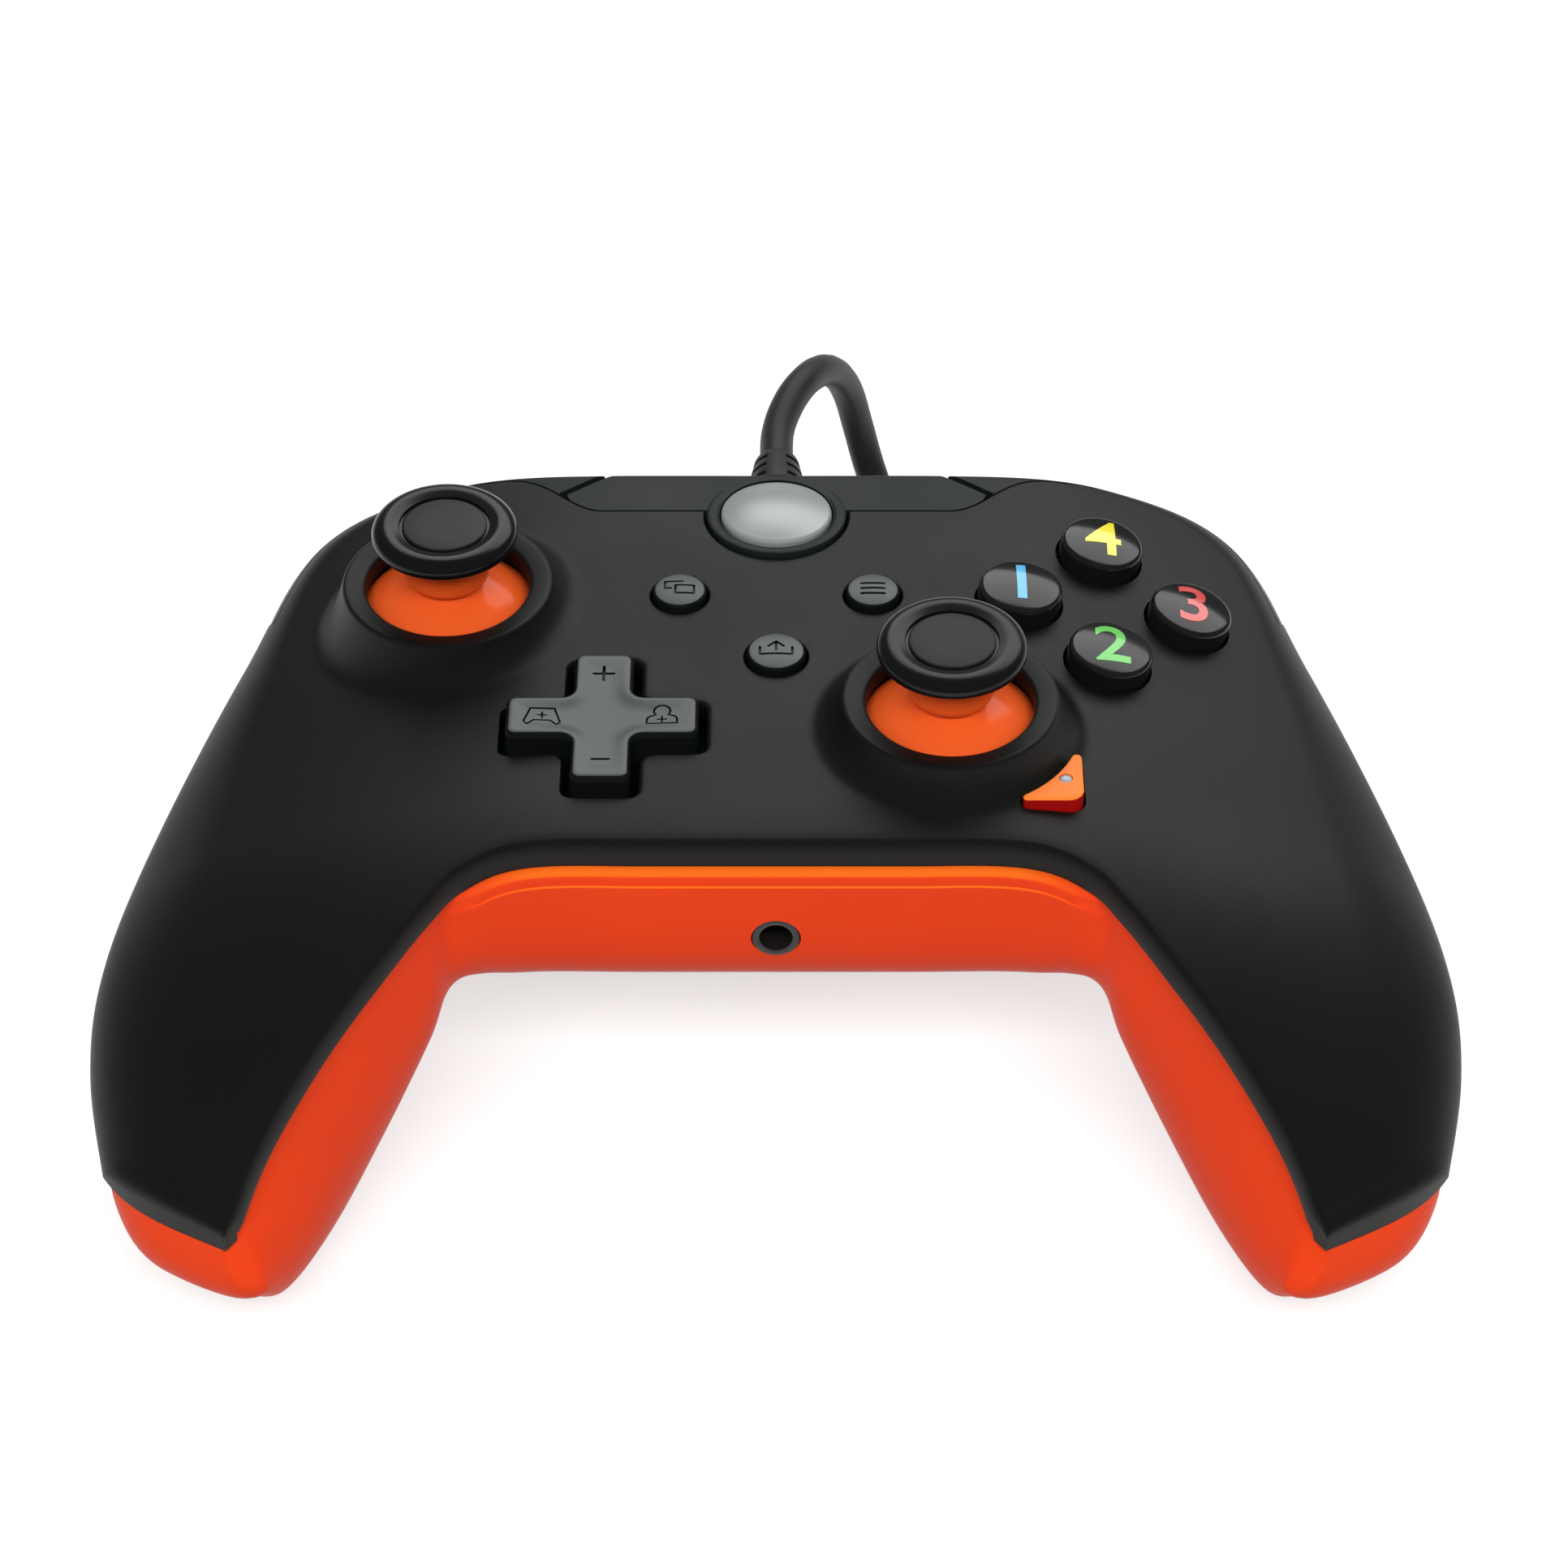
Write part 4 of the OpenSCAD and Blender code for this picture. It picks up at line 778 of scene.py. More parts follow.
def make_relief():
    """Sleeve where the cord leaves, with a row of slots along each side."""
    r, hole = RELIEF_D / 2, CORD_D / 2 + 0.1
    start = REAR_Y - 4.4
    end = RELIEF_END - start
    bend, slot_w, slot_turn = 1.5, 0.75, 68
    profile = [(hole, 0), (r + 0.6, 0), (r + 0.6, 1.6), (r - 0.3, 1.6), (r - 0.3, 5.2), (r - 0.08, 5.3)]
    profile += [(r, 5.5)]
    for a in np.linspace(0, bend, 14):
        profile.append((r - 0.9 * (1 - math.cos(a)), lerp(7.0, end - 0.5, a / bend)))
    tip = profile[-1][0]
    profile += [(tip - 0.12, end - 0.2), (tip - 0.4, end), (hole, end)]
    obj = revolve("relief_sleeve", profile, 96, closed=True)
    for k in range(4):
        y, floor = 7.2 + 2.0 * k, r - 0.75 - 0.16 * k
        corners = [(floor, y), (r + 1, y), (r + 1, y + slot_w), (floor, y + slot_w)]
        for middle in (0, 180):
            boolean(obj, sector("slot", corners, middle - slot_turn, middle + slot_turn))
    place(obj, (0, start, CORD_Z), (-90, 0, 0))
    return dress(obj, CORD_BLACK, "root", ["cord_relief"])


def make_tie():
    """Flat band that holds the coil's turns together, at the side away from the object."""
    width, band, height = TIE_SIZE
    outer = round_rect(width, height, 3.0)
    inner = round_rect(width - 2 * TIE_T, height - 2 * TIE_T, 2.5)
    loops = [(outer, -1), (outer, 1), (inner, 1), (inner, -1)]
    rings = [[(x, end * band / 2, z) for x, z in loop] for loop, end in loops]
    obj = stack("coil_tie", rings, closed=True)
    place(obj, (COIL_R - 10.2, 0, height / 2 + 0.02))
    place(obj, (*COIL_AT, 0), (0, 0, 118))
    return dress(obj, CORD_BLACK, "root")


# Plug: rows of (distance, cut) along the grip
PLUG_ROWS = [(0, 2.2), (1.2, 1), (3, 0.45), (6, 0.15), (9, 0), (24.6, 0), (25.5, 0.2), (26, 0.7)]


def make_plug_grip():
    rings = []
    for x, cut in PLUG_ROWS:
        outline = round_rect(PLUG_W - 2 * cut, PLUG_H - 2 * cut, max(0.6, 2.2 - cut))
        rings.append([(x, a, b) for a, b in outline])
    grip = stack("plug_grip", rings)
    for k in range(4):
        for z in (-PLUG_H / 2, PLUG_H / 2):
            boolean(grip, rod("rib", 11.0 + 2.6 * k, 12.2 + 2.6 * k, 9.0, 0.7, 0.3, (0, z)))
    boolean(grip, rod("mouth", 20.0, 30.0, 12.2, 4.7, 0.5))
    return dress(place(grip, PLUG_AT), CORD_BLACK, "root", ["plug_body"])


def make_plug_shell():
    shell = rod("plug_metal", 20.05, 38.05, 12.0, 4.5, 0.5)
    boolean(shell, rod("hollow", 26.0, 40.0, 11.4, 3.9, 0.35))
    for z in (-2.2, 2.2):
        for y in (-2.9, 2.9):
            boolean(shell, rod("window", 31.0, 33.4, 2.2, 1.4, 0.1, (y, z)))
    return dress(place(shell, PLUG_AT), STEEL, "root", ["plug_shell"])


def make_plug_tongue():
    tongue = rod("plug_tongue", 25.9, 37.2, 11.0, 1.8, 0.3, (0, -0.95))
    return dress(place(tongue, PLUG_AT), WHITE_INNER, "root")


# Face plate
def mirror_outline(points):
    """Closed outline from its right half, which starts and ends on the middle line."""
    return list(points) + [(-x, y) for x, y in reversed(points) if abs(x) > 1e-6]


SEAM_START = (21.0, BRIDGE_Y)
SEAM_END_X = 33.6


def seam_curve(grow=0.0):
    """Right half of the seam between the face and the parts behind it, moved back by grow."""
    end = (SEAM_END_X, REAR_Y - BUMPER_TOP + grow)
    start = (SEAM_START[0] - 0.4 * grow, SEAM_START[1] + grow)
    handles = (start[0] + 4.5, start[1]), (27.5 - 0.4 * grow, end[1])
    return [tuple(p) for p in bezier(start, *handles, end, 16)]


def bumper_seam(inset):
    return [outer_pt(u, inset) for u in np.linspace(2, BUMPER_END, 10)]


def rear_zone():
    half = [(0, BRIDGE_Y)] + seam_curve() + bumper_seam(BUMPER_TOP)
    half += [outer_pt(BUMPER_END, -6), (HALF_W, REAR_Y + 20), (0, REAR_Y + 20)]
    return mirror_outline(half)


def cross(h, a, rf, rc, n=6):
    quarter = arc((h - rc, a - rc), rc, 0, 90, n)
    quarter += [(2 * (a + rf) - x, 2 * (a + rf) - y) for x, y in arc((a + rf, a + rf), rf, 90, 0, n)]
    quarter += arc((a - rc, h - rc), rc, 0, 90, n)
    turns = [(1, 0), (0, 1), (-1, 0), (0, -1)]
    return [(x * c - y * s, x * s + y * c) for c, s in turns for x, y in quarter]


def pad_hole(grow):
    outline = cross(PAD_SPAN / 2 + PAD_GAP + grow, PAD_ARM / 2 + PAD_GAP + grow, 1.6, 1.2 + grow)
    return [(x + PAD_AT[0], y + PAD_AT[1]) for x, y in outline]


def key_outline(g):
    c = STICKS["right"][:2]
    tip = math.degrees(math.asin((HEEL_AT[1] - HEEL_ROUND + TIP_ROUND - c[1]) / (KEY_R + TIP_ROUND)))
    horn = -math.degrees(math.acos((HEEL_AT[0] + HEEL_ROUND - HORN_ROUND - c[0]) / (KEY_R + HORN_ROUND)))
    out = arc(HEEL_AT, HEEL_ROUND + g, -90, 0, 8)
    out += arc(arc(c, KEY_R + HORN_ROUND, horn, horn, 0)[0], HORN_ROUND + g, 0, 180 + horn, 8)
    out += arc(c, KEY_R - g, horn, tip, 16)[1:-1]
    out += arc(arc(c, KEY_R + TIP_ROUND, tip, tip, 0)[0], TIP_ROUND + g, 180 + tip, 270, 8)
    return out


# Corner cut off the plate at a grip's end, which leaves a small upright facet
TIP_FACET = [(61.55, -57.6), (57.25, -51.45), (53.15, -54.3), (57.45, -60.45)]


def face_spots():
    return {name: (FACES_AT[0] + FACE_PITCH * x, FACES_AT[1] + FACE_PITCH * y)
            for name, x, y in (("right", 1, 0), ("top", 0, 1), ("left", -1, 0), ("bottom", 0, -1))}


def on_face(obj, x, y):
    """Sets a piece down on the curved face, tilted to it."""
    return place(obj, (x, y, face_z(x, y)), (0, face_tilt(x), 0))


def round_hole(d, at=(0, 0), z=0.0, n=64):
    """Cutter for a round button's hole, with its clearance and a soft rim at height z."""
    return flared("cut", lambda grow: circle(d / 2 + GAP + grow, n, at), z, HOLE_DEPTH, HOLE_EDGE)


def make_face():
    plate = plate_solid()
    for side in (-1, 1):
        boolean(plate, prism("cut", [(side * x, y) for x, y in TIP_FACET], 0, FACE_H))
    boolean(plate, through(rear_zone()))
    boolean(plate, round_hole(BEZEL_D, (0, HOME_Y), FACE_H, 96))
    for x, y, _ in STICKS.values():
        boolean(plate, through(circle(COLLAR_R, 128, (x, y))))
    boolean(plate, flared("cut", pad_hole, FACE_H, HOLE_DEPTH, 0.7))
    for x, y in face_spots().values():
        boolean(plate, on_face(round_hole(FACE_D), x, y))
    for x in (-MENU_AT[0], MENU_AT[0]):
        boolean(plate, round_hole(MENU_D, (x, MENU_AT[1]), FACE_H))
    boolean(plate, round_hole(SHARE_D, (0, SHARE_Y), FACE_H))
    boolean(plate, through(key_outline(GAP), HOLE_DEPTH, 6))
    for at in STICKS.values():
        join(plate, boolean(make_collar(at), through(key_outline(GAP), HOLE_DEPTH, 1.2)))
    return dress(plate, SHELL, "root", ["front_shell"])


# Collar round a stick's well: its rim as (step past the rim's radius, rise over its top)
COLLAR_RIM = [(0.17, -0.08), (0.08, 0.08), (-0.08, 0.2), (-0.28, 0.25), (-0.6, 0.23), (-2.1, 0.02),
              (-2.35, -0.06), (-2.54, -0.22), (-2.64, -0.5)]


def make_collar(at):
    """Raised ring round a stick's well, flowing out into the face."""
    x0, y0, drop = at
    rim, well, ball, soft = RING_D / 2, WELL_D / 2, DOME_D / 2 + 0.4, 0.25
    top, pivot = FACE_H + drop + RING_H, PIVOT_Z + drop
    angles = np.linspace(0, 2 * math.pi, 128, endpoint=False)
    ca, sa = np.cos(angles), np.sin(angles)
    rings = []
    for t in np.linspace(0, 1, 26):
        r = lerp(COLLAR_R, rim + soft, t)
        x, y = x0 + r * ca, y0 + r * sa
        base = face_z(x, y)
        rise = np.clip((rim + COLLAR_FLARE - r) / (COLLAR_FLARE - soft), 0, 1) ** 2.6
        rings.append(np.stack([x, y, base + (top - 0.3 - base) * rise], 1))
    profile = [(rim + step, top + rise) for step, rise in COLLAR_RIM]
    profile += [(well, top - 0.8), (well, pivot + math.sqrt(ball ** 2 - well ** 2))]
    profile += [(ball * math.sin(a), pivot + ball * math.cos(a)) for a in np.radians(np.linspace(46, 70, 5))]
    rings += [np.stack([x0 + r * ca, y0 + r * sa, np.full_like(ca, z)], 1) for r, z in profile]
    x, y = x0 + COLLAR_R * ca, y0 + COLLAR_R * sa
    rings.append(np.stack([x, y, np.minimum(face_z(x, y) - WALL, profile[-1][1] - 0.2)], 1))
    return stack("collar", rings, closed=True)


# Headset socket
def make_jack():
    r, inside, depth = JACK_D / 2, JACK_BORE / 2, JACK_DEPTH
    at, along = (0, JACK_Y, JACK_Z), (-90, 0, 0)
    profile = [(AXIS, depth - 1), (inside, depth - 1), (inside, 0.35), (inside + 0.12, 0.12)]
    profile += [(inside + 0.35, 0.0), (r - 0.3, 0.0), (r - 0.08, 0.1), (r, 0.35), (r, 4.0), (r + 0.5, 4.0)]
    profile += [(r + 0.5, depth), (AXIS, depth)]
    socket = place(revolve("jack_socket", profile, 96), at, along)
    low, high = (-3.5, JACK_Y + 4.0, JACK_Z - 3.2), (3.5, JACK_Y + depth + 2.0, JACK_Z + 3.2)
    join(socket, boolean(box("jack_body", low, high), bore(3.0, depth, at)))
    dress(socket, JACK_BLACK, "root", ["audio_jack"])
    spring = [(inside - 0.02, 6.6), (inside - 0.02, 7.2), (inside - 0.2, 7.1), (inside - 0.2, 6.7)]
    contact = place(revolve("jack_contact", spring, 64, closed=True), at, along)
    return dress(contact, STEEL, "root")


# Rear shell, bridge, bumpers and triggers; screws as (x, y, height of the seat)
SCREWS = [
    (SHOULDER_X - 1, REAR_Y - 38, FACE_H - 27),
    (HALF_W - 13, 14 - GRIP_REACH, FACE_H - 38),
]


def make_rear():
    cover = rear_solid()
    boolean(cover, box("cut", (-HALF_W - 5, -GRIP_REACH - 9, -9), (HALF_W + 5, GRIP_REACH, 0)))
    for side in (-1, 1):
        x0, x1 = sorted((side * (TRIGGER_X - 1), side * (TRIGGER_X + TRIGGER_W + 1)))
        low, high = (x0, TRIGGER_Y - 9, TRIGGER_Z - 9), (x1, TRIGGER_Y + 31, TRIGGER_Z + 31)
        boolean(cover, box("cut", low, high))
        for x, y, seat in SCREWS:
            boolean(cover, prism("cut", circle(SCREW_WELL / 2, 48, (side * x, y)), -1, seat))
    boolean(cover, bore(JACK_D / 2 + 0.1, 30, (0, JACK_Y - 19.5, JACK_Z), 96))
    return dress(cover, ORANGE, "root", ["rear_shell"], 50)


SLIT = (26.1, 44.75)
SLIT_END = (20.7, 48.4)


def lean(obj, slope, low, high):
    """Tips a round piece back a little, from nothing at the low height to all of it at the high one."""
    for v in obj.data.vertices:
        share = (v.co.z / MM - low) / (high - low)
        v.co.z -= v.co.y * slope * min(1, max(0, share))
    return obj


def make_bezel():
    inner, outer, low = HOME_D / 2 + 0.25, BEZEL_D / 2, -1.5
    profile = [(inner, low), (outer - 0.02, low), (outer - 0.02, 0.0), (outer - 0.1, 0.16)]
    profile += [(outer - 0.25, 0.24), (inner + 0.3, 0.2), (inner + 0.12, 0.14), (inner, 0.0)]
    bezel = lean(revolve("bezel", profile, 128, closed=True), BEZEL_LEAN, low, 0.0)
    return place(bezel, (0, HOME_Y, FACE_H))


def make_bridge():
    edge, end = SLIT[0] - SLIT_HALF, SLIT_END[0] - SLIT_HALF
    half = [(0, BRIDGE_Y + GAP)] + [p for p in seam_curve(GAP) if p[0] < edge]
    half += [(edge, SLIT[1]), (end, SLIT_END[1]), (end, REAR_Y + 10), (0, REAR_Y + 10)]
    bridge = face_solid("bridge_cover", -1.7, 1.7, 48)
    zone = through(mirror_outline(half))
    boolean(zone, through(circle(BEZEL_D / 2, 96, (0, HOME_Y)), 4, 4), "UNION")
    boolean(bridge, zone, "INTERSECT")
    boolean(bridge, through(circle(HOME_D / 2 + 0.2, 128, (0, HOME_Y)), 10, 10))
    boolean(bridge, bore(RELIEF_D / 2 - 0.2, 20, (0, REAR_Y - 10, CORD_Z)))
    join(bridge, make_bezel())
    return dress(bridge, GREEN_GREY, "root", ["center_bridge"])


def make_bumper(side):
    edge, end = SLIT[0] + SLIT_HALF, SLIT_END[0] + SLIT_HALF
    half = [(end, REAR_Y + 10), (end, SLIT_END[1] + SLIT_HALF), (edge, SLIT[1] + SLIT_HALF)]
    half += [p for p in seam_curve(GAP) if p[0] > edge] + bumper_seam(BUMPER_TOP - GAP)
    half += [outer_pt(BUMPER_END, -5), (HALF_W - 8, REAR_Y + 10)]
    bumper = face_solid("bumper", 1, BUMPER_END + 0.3, 64)
    sided(boolean(bumper, through(half, 9.6), "INTERSECT"), side, "shoulder")
    return dress(bumper, GREEN_GREY, side + "_bumper", [side + "_bumper"])


def trigger_blade():
    """Side view of a trigger round its pivot: top, front, hooked tip, back and hub."""
    return np.concatenate([
        bezier((7, 3), (12.5, 2), (12.6, -5), (12.8, -9), 16),
        bezier((12.8, -9), (13, -11.5), (13.4, -14), (15.2, -16.6), 12)[1:],
        bezier((15.2, -16.6), (15, -18.2), (13.2, -17.8), (12.4, -16.6), 10)[1:],
        bezier((12.4, -16.6), (9.4, -12), (8.5, -3.4), (0, -3.2), 16)[1:],
        np.array(arc((0, 0), 3.2, -90, -270, 12))[1:],
    ])


def make_trigger(side):
    blade = trigger_blade()
    away = blade.mean(axis=0) - blade
    away /= np.linalg.norm(away, axis=1)[:, None]
    rows = [(0, 1.4), (0.25, 0.7), (0.8, 0.22), (1.6, 0.0)]
    rows += [(TRIGGER_W - x, cut) for x, cut in reversed(rows)]
    trigger = stack("trigger", [[(x, a, b) for a, b in blade + away * cut] for x, cut in rows])
    plan = [(x + TRIGGER_W / 2, y + 3) for x, y in round_rect(TRIGGER_W, 42.2, 6, 8)]
    boolean(trigger, prism("plan", plan, -25, 15), "INTERSECT")
    boolean(trigger, place(prism("pin", circle(1.31, 32), -1, TRIGGER_W + 1), turn=(0, 90, 0)))
    boolean(trigger, box("slot", (4, -4, -3.5), (10, 3.4, 3.5)))
    sided(place(trigger, (TRIGGER_X, TRIGGER_Y, TRIGGER_Z)), side, "pull")
    return dress(trigger, TRIGGER_BLACK, side + "_trigger", [side + "_trigger"])


# Sticks: profiles as (radius, height over the pivot)
def stem_profile():
    outer, inner = DOME_D / 2, DOME_D / 2 - 1.2
    top = STEM_TOP - 2.5
    inside = [(AXIS, -1.4), (1.5, -1.4), (1.5, inner - 3.2), (2.6, inner - 1.6)]
    dome = arc((0, 0), inner, 76, 24, 13) + arc((0, 0), outer, 24, 75.2, 33)
    foot = arc((3.55, 15.4), 1.5, -90, -6, 11)
    neck = [(5.14, 16.4), (5.24, top - 1.2), (5.4, top - 0.5), (5.8, top), (AXIS, top)]
    return inside + dome + foot + neck


def cap_profile():
    r, top = CAP_D / 2, STEM_TOP
    rim = [(r + CAP_RIM_W * (x - 1), top + CAP_RIM_H * (z - 1)) for x, z in arc((0, 0), 1, -90, 96, 23)]
    dish = [(r - 2.4, top - 0.07), (r - 2.75, top - 0.17)]
    groove = [(DISC_R + 0.56, top - 0.25), (DISC_R + 0.42, top - 0.29), (DISC_R + 0.36, top - 0.36),
              (DISC_R + 0.34, top - 0.62), (AXIS, top - 0.62)]
    return [(AXIS, top - 2.6), (r - 3.0, top - 2.7)] + rim + dish + groove


def disc_profile():
    r, top = DISC_R, STEM_TOP
    return [(AXIS, top - 0.7), (r + 0.02, top - 0.7), (r, top - 0.4), (r - 0.1, top - 0.31),
            (r - 0.3, top - 0.27), (r * 0.5, top - 0.2), (AXIS, top - 0.18)]


def make_stick(side):
    x, y, drop = STICKS[side]
    at, body = (x, y, PIVOT_Z + drop), side + "_stick"
    stem = place(revolve(side + "_stem", stem_profile(), 96), at)
    dress(stem, STICK_ORANGE, body, [body + "_post"])
    cap = place(revolve(side + "_cap", cap_profile(), 128), at)
    dress(cap, RUBBER, body, [body + "_cap"])
    disc = place(revolve(side + "_cap_disc", disc_profile(), 128), at)
    dress(disc, RUBBER_DISC, body)


# Pad, buttons and key
def paint_side_and_groove_shade(obj, mat, floor, flat=0.9):
    """Painted shade: a second, near-black material on the sides of a piece and on the floor of its engraved
    lines, where they fall dark.
    """
    mesh = obj.data
    mesh.materials.append(mat)
    deep = (floor + 0.02) * MM
    mesh.polygons.foreach_set(
        "material_index", [int(face.normal.z < flat or face.center.z < deep) for face in mesh.polygons])
    return obj


# Pad's rounded edge as (cut, drop from the top), then the cuts of its dished top
PAD_EDGE = [(0.05, 0.46), (0.18, 0.22), (0.38, 0.06), (0.6, 0)]
PAD_CUTS = (1.0, 1.6, 2.3, 3.0)


def make_pad():
    h, a, top = PAD_SPAN / 2, PAD_ARM / 2, FACE_H + PAD_RISE
    rings = []
    for cut, z in [(0, FACE_H - 4), (0, top - 0.75)] + [(cut, top - drop) for cut, drop in PAD_EDGE]:
        rings.append(ring(cross(h - cut, a - cut, 1.4 + cut, max(0.3, 1.0 - 0.5 * cut), 8), z))
    for cut in PAD_CUTS:
        dish = PAD_DISH * min(1, (cut - 0.6) / 1.7)
        outline = cross(h - cut, a - cut, 1.4 + cut, 0.25, 8)
        rings.append([(x, y, top - dish * max(0, 1 - (math.hypot(x, y) / 11.0) ** 2)) for x, y in outline])
    pad = stack("pad_cross", rings)
    boolean(pad, prism("hub", circle(7.5, 64), FACE_H - 5.2, FACE_H - 3.6), "UNION")
    for mark in pad_marks(h, top - ENGRAVED):
        boolean(pad, mark)
    place(pad, (*PAD_AT, 0))
    dress(pad, PAD_GREY, "direction_pad", ["direction_pad"])
    # Painted shade on the pad's sides and on the floors of its engraved marks
    return paint_side_and_groove_shade(pad, PAD_PAINTED_SHADE, top - ENGRAVED)


def stroke(points, width, floor, closed=False):
    """Engraver's cut along a line: short bars with round ends, joined into one solid."""
    bars = None
    for (x0, y0), (x1, y1) in zip(points, points[1:] + points[:1] if closed else points[1:]):
        turn = math.degrees(math.atan2(y1 - y0, x1 - x0))
        outline = round_rect(math.hypot(x1 - x0, y1 - y0) + width, width, width * 0.49, 4)
        bar = prism("bar", outline, floor, floor + MARK_CUT)
        place(bar, ((x0 + x1) / 2, (y0 + y1) / 2, 0), (0, 0, turn))
        bars = bar if bars is None else boolean(bars, bar, "UNION")
    return bars


def plus(x, y, half, width, floor):
    bar = stroke([(x - half, y), (x + half, y)], width, floor)
    return boolean(bar, stroke([(x, y - half), (x, y + half)], width, floor), "UNION")


def pad_marks(h, floor):
    """Plus, minus, a gamepad and a person, each with its own small plus."""
    x, y = h - 4.2, h - 3.5
    marks = [plus(0, y, 1.15, 0.36, floor), stroke([(-0.95, -y), (0.95, -y)], 0.36, floor)]
    half = [(1.4, 1.35), (2.1, -1.0), (1.7, -1.45), (0.95, -0.7)]
    grip = [(px - x, py) for px, py in half] + [(-px - x, py) for px, py in reversed(half)]
    person = [(x - 1.75, -1.3)] + arc((x - 1.0, -0.65), 0.75, 180, 100, 4)
    person += arc((x, 0.85), 0.95, 220, -40, 12)
    person += arc((x + 1.0, -0.65), 0.75, 80, 0, 4) + [(x + 1.75, -1.3)]
    marks += [stroke(shape, 0.24, floor, True) for shape in (grip, person)]
    return marks + [plus(-x, 0.2, 0.5, 0.22, floor), plus(x, -0.55, 0.5, 0.22, floor)]


def button_profile(d, rise, drop, dome, foot=0.5, edge=0.7):
    """Plunger, flange, side with a rounded edge, and a domed top."""
    r, plunger, flange = d / 2, 2.4, 1
    profile = [(AXIS, -drop - plunger), (r * foot, -drop - plunger), (r * foot, -drop - flange)]
    profile += [(r + flange, -drop - flange), (r + flange, -drop), (r, -drop)]
    profile += arc((r - edge, rise - edge), edge, 0, 78, 8)
    r0, z0 = profile[-1]
    crown = rise + dome
    profile += [(r0 * s, crown - (crown - z0) * s * s) for s in np.linspace(0.92, 0.05, 12)]
    return profile + [(AXIS, crown)]


def digit_mesh(digit):
    """Flat figure in Blender's own font, cut fine enough to follow a dome."""
    text = bpy.data.curves.new("digit", "FONT")
    text.body = digit
    text.size = DIGIT_SIZE * MM
    text.align_x = "CENTER"
    text.align_y = "CENTER"
    text.extrude = DIGIT_T * MM
    text.offset = DIGIT_T * MM
    text.resolution_u = 6
    temp = link("digit", text)
    mesh = bpy.data.meshes.new_from_object(temp.evaluated_get(bpy.context.evaluated_depsgraph_get()))
    bpy.data.objects.remove(temp)
    bm = bmesh.new()
    bm.from_mesh(mesh)
    bmesh.ops.subdivide_edges(bm, edges=[e for e in bm.edges if e.calc_length() > 0.9 * MM], cuts=3)
    bmesh.ops.triangulate(bm, faces=bm.faces)
    bm.to_mesh(mesh)
    bm.free()
    return mesh


def make_face_button(name, digit):
    at, body, edge_z = face_spots()[name], "face_button_" + name, FACE_RISE - 0.3
    button = revolve("face_" + name, button_profile(FACE_D, edge_z, 4.2, FACE_DOME), 96)
    dress(on_face(button, *at), GLOSS_BLACK, body, [body])
    mark = link("digit_" + digit, digit_mesh(digit))
    for v in mark.data.vertices:
        share = math.hypot(v.co.x, v.co.y) / MM / (FACE_D / 2 - 0.7)
        v.co.z += (edge_z + FACE_DOME * (1 - share ** 2) - 0.06) * MM
    dress(on_face(mark, *at), DIGITS[name], body)


def make_small_button(name, at, d, marks):
    button = revolve(name + "_cap", button_profile(d, 0.9, 2.6, 0.25, edge=0.45), 96)
    place(button, (*at, FACE_H))
    for mark in marks:
        boolean(button, place(mark, (*at, FACE_H)))
    dress(button, PAD_GREY, name + "_button", [name + "_button"])
    # Painted shade on the button's sides and on the floors of its engraved marks
    return paint_side_and_groove_shade(button, PAD_PAINTED_SHADE, FACE_H + MARK_FLOOR)


def view_marks():
    back = [(0.35, 1.3), (-1.75, 1.3), (-1.75, 0.0), (-1.0, 0.0)]
    front = [(-0.5, 0.55), (1.7, 0.55), (1.7, -0.9), (-0.5, -0.9)]
    return [stroke(back, 0.3, MARK_FLOOR), stroke(front, 0.3, MARK_FLOOR, True)]


def menu_marks():
    return [stroke([(-1.35, y), (1.35, y)], 0.36, MARK_FLOOR) for y in (-0.95, 0.0, 0.95)]


def share_marks():
    tray = [(-1.9, 0.5), (-1.9, -0.8), (1.9, -0.8), (1.9, 0.5)]
    arrow = [(-0.9, 0.6), (0.0, 1.5), (0.9, 0.6)]
    shaft = [(0, 1.2), (0, -0.1)]
    return [stroke(line, 0.32, MARK_FLOOR) for line in (tray, arrow, shaft)]


def make_home():
    profile = button_profile(HOME_D, 0.6, 2.6, 1.1, 0.7, 0.6)
    button = place(lean(revolve("home_dome", profile, 128), HOME_LEAN, -2.2, -0.2), (0, HOME_Y, FACE_H))
    return dress(button, SILVER, "home_button", ["home_button"])


def key_layers(name, rows):
    return stack(name, [ring(key_outline(grow), z) for grow, z in rows])


def make_key():
    z = float(face_z(*LED_AT))
    top, r = z + KEY_TOP, LED_D / 2
    side = key_layers("key_body", [(0.6, z - 5.2), (0.6, z - 4.4), (0, z - 4.39), (0, top - 0.22)])
    dress(side, KEY_RED, "function_key", ["function_button"])
    cap = key_layers("key_cap", [(0, top - 0.22), (-0.06, top - 0.1), (-0.16, top - 0.03), (-0.3, top)])
    boolean(cap, prism("led", circle(r + 0.1, 32, LED_AT), top - 0.7, top + 1))
    dress(cap, KEY_ORANGE, "function_key")
    lens = [(AXIS, -0.5), (r, -0.5), (r, -0.12), (r - 0.12, -0.03), (0.3, 0.02), (AXIS, 0.03)]
    led = place(revolve("key_led", lens, 40), (*LED_AT, top))
    dress(led, LED_GREY, "function_key", ["function_led"])


# CAD pieces that keep their shape
SIDES = ("left", "right")
SIDE_FINISH = {
    "trigger_pin": STEEL, "trigger_spring": STEEL, "stick_module": STEEL, "stick_lower_yoke": INNER,
    "stick_upper_yoke": WHITE_INNER, "stick_rocker": WHITE_INNER, "rumble_motor": STEEL,
    "rumble_weight": DARK_STEEL,
}
NODE_FINISH = {
    "face_membrane": SILICONE, "pad_membrane": SILICONE, "center_membrane": SILICONE, "trigger_frame": INNER,
    "pad_ball": STEEL, "main_board": BOARD, "housing_screws": STEEL,
}


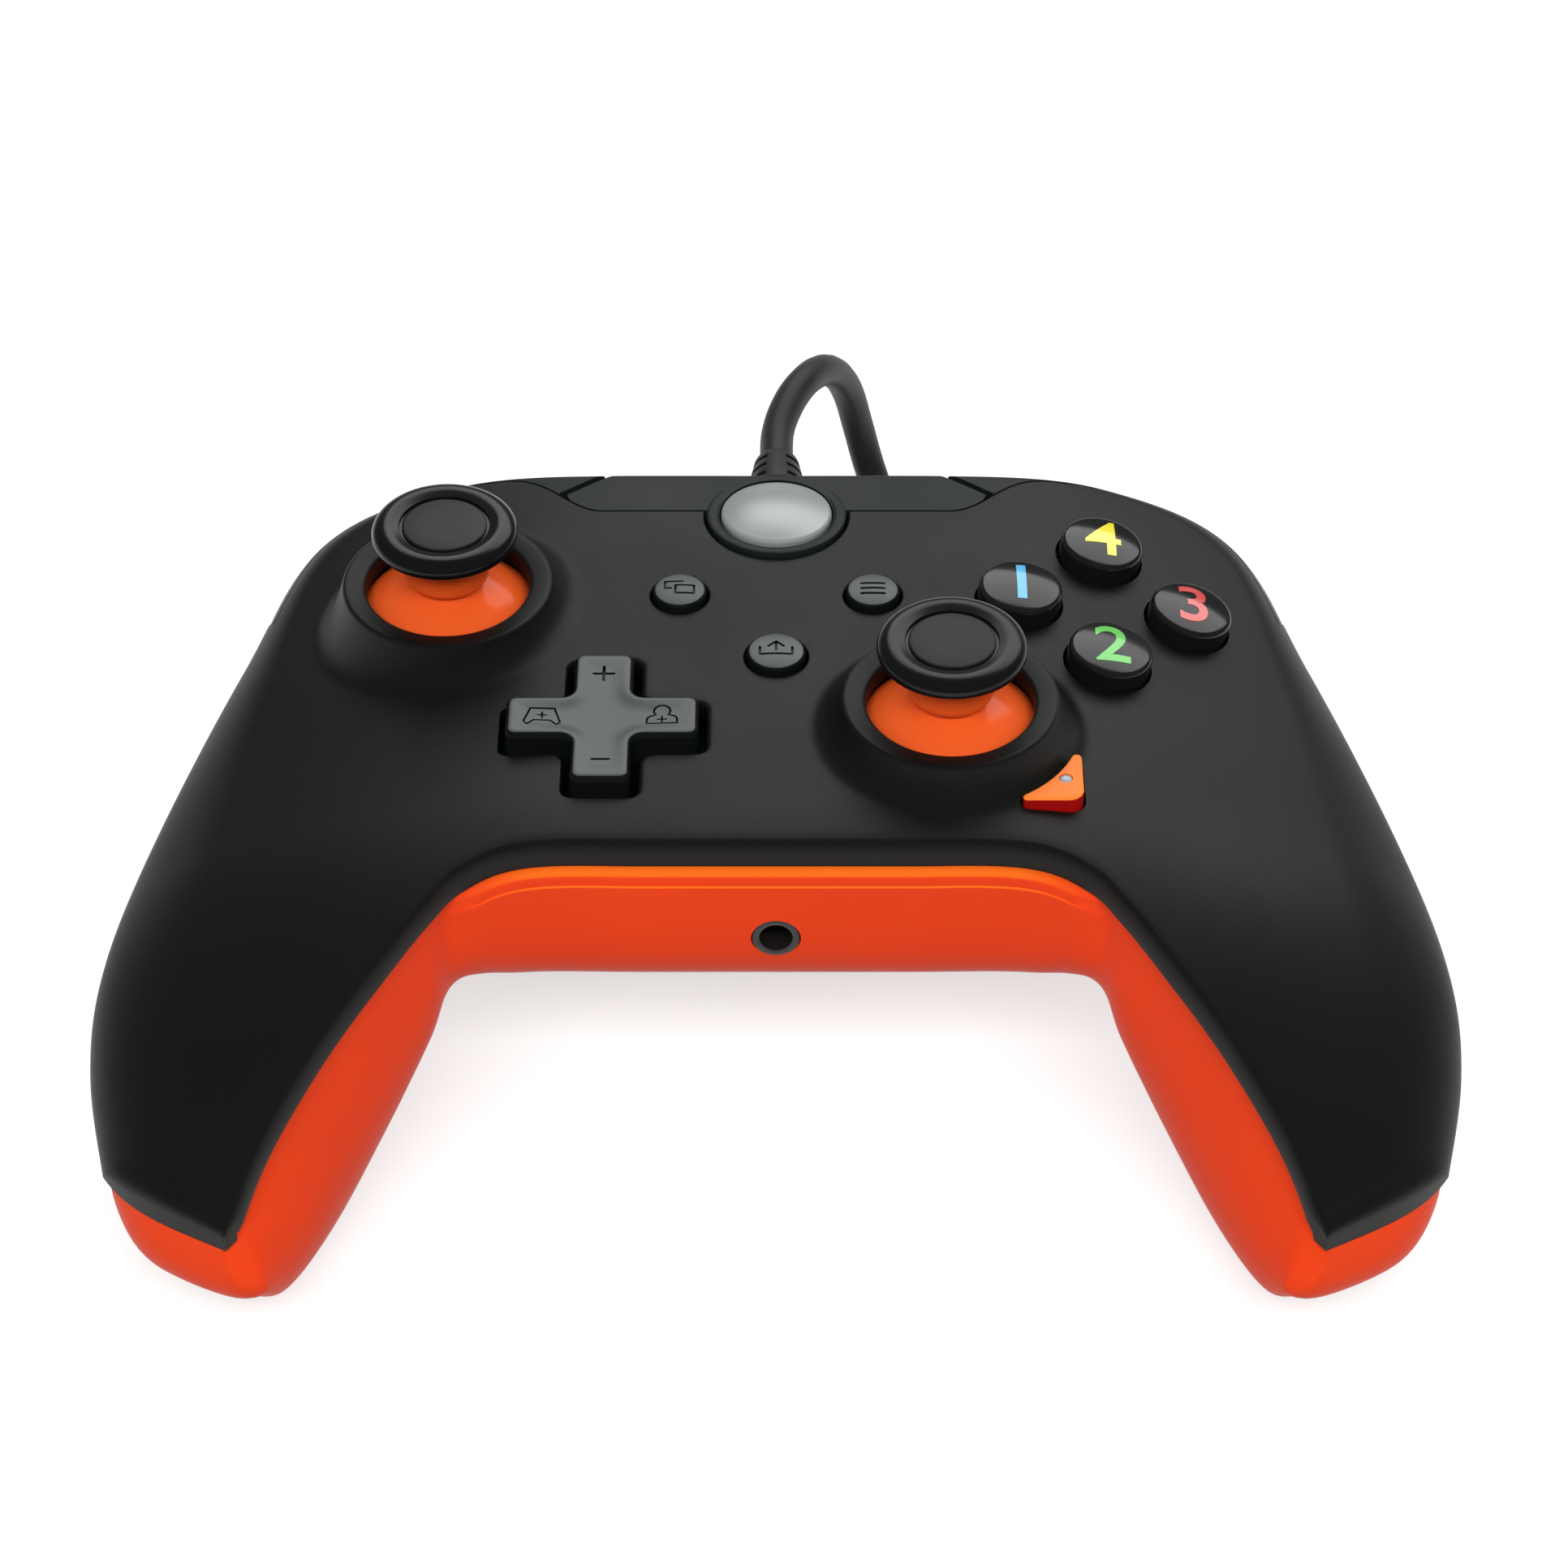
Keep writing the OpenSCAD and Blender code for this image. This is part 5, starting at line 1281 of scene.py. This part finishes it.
def finish_nodes():
    finish = {f"{side}_{name}": mat for side in SIDES for name, mat in SIDE_FINISH.items()}
    for name, mat in (finish | NODE_FINISH).items():
        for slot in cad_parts[name].material_slots:
            slot.material = mat


# Stage and light
FLOOR_HALF = 6.0
FLOOR_LIFT = 0.66
WORLD_LEVEL = 0.15


def make_stage():
    scene = bpy.context.scene
    scene.view_settings.view_transform = "Standard"
    world = bpy.data.worlds.new("studio")
    scene.world = world
    world.use_nodes = True
    back = world.node_tree.nodes["Background"]
    back.inputs["Color"].default_value = (1, 1, 1, 1)
    back.inputs["Strength"].default_value = WORLD_LEVEL
    s = FLOOR_HALF
    mesh = bpy.data.meshes.new("floor")
    mesh.from_pydata([(-s, -s, 0), (s, -s, 0), (s, s, 0), (-s, s, 0)], [], [(0, 1, 2, 3)])
    mesh.materials.append(floor_material())
    link("floor", mesh)


def floor_material():
    """Pale floor that the camera, and reflections, see as white where no shadow falls."""
    mat, tree, bsdf = node_material("floor_pale")
    rays = tree.nodes.new("ShaderNodeLightPath").outputs
    seen = rays["Is Camera Ray"]
    for ray in ("Is Glossy Ray", "Is Transmission Ray"):
        seen = calc(tree, "MAXIMUM", seen, rays[ray])
    feed(tree, bsdf, {
        "Base Color": (0.45, 0.45, 0.45, 1),
        "Roughness": 0.9,
        "Specular IOR Level": 0.0,
        "Emission Color": (1, 1, 1, 1),
        "Emission Strength": calc(tree, "MULTIPLY", seen, FLOOR_LIFT),
    })
    return mat


def area_light(name, at, size, power, mirrored_in_gloss=False):
    data = bpy.data.lights.new(name, "AREA")
    data.shape = "RECTANGLE"
    data.size, data.size_y = size
    data.energy = power
    lamp = link(name, data)
    lamp.location = at
    lamp.rotation_euler = (Vector((0, 0, 0.03)) - Vector(at)).to_track_quat("-Z", "Y").to_euler()
    lamp.visible_glossy = mirrored_in_gloss


def make_lights():
    area_light("rear_softbox", (0.25, 0.9, 0.88), (1.3, 0.72), 8.0, True)
    area_light("front_softbox", (0.0, -0.84, 1.04), (1.2, 0.4), 18.5)
    area_light("left_softbox", (-1.1, -0.05, 0.45), (0.9, 0.5), 2.2)
    area_light("right_softbox", (1.1, 0.15, 0.5), (0.9, 0.5), 2.6)


make_camera()
cord, cord_length = make_cord()
relief = make_relief()
tie = make_tie()
plug = [make_plug_grip(), make_plug_shell(), make_plug_tongue()]
make_face()
make_rear()
make_bridge()
make_jack()
for side in SIDES:
    make_bumper(side)
    make_trigger(side)
    make_stick(side)
make_pad()
for name, digit in (("left", "1"), ("bottom", "2"), ("right", "3"), ("top", "4")):
    make_face_button(name, digit)
make_small_button("view", (-MENU_AT[0], MENU_AT[1]), MENU_D, view_marks())
make_small_button("menu", MENU_AT, MENU_D, menu_marks())
make_small_button("share", (0, SHARE_Y), SHARE_D, share_marks())
make_home()
make_key()
finish_nodes()
make_stage()
make_lights()
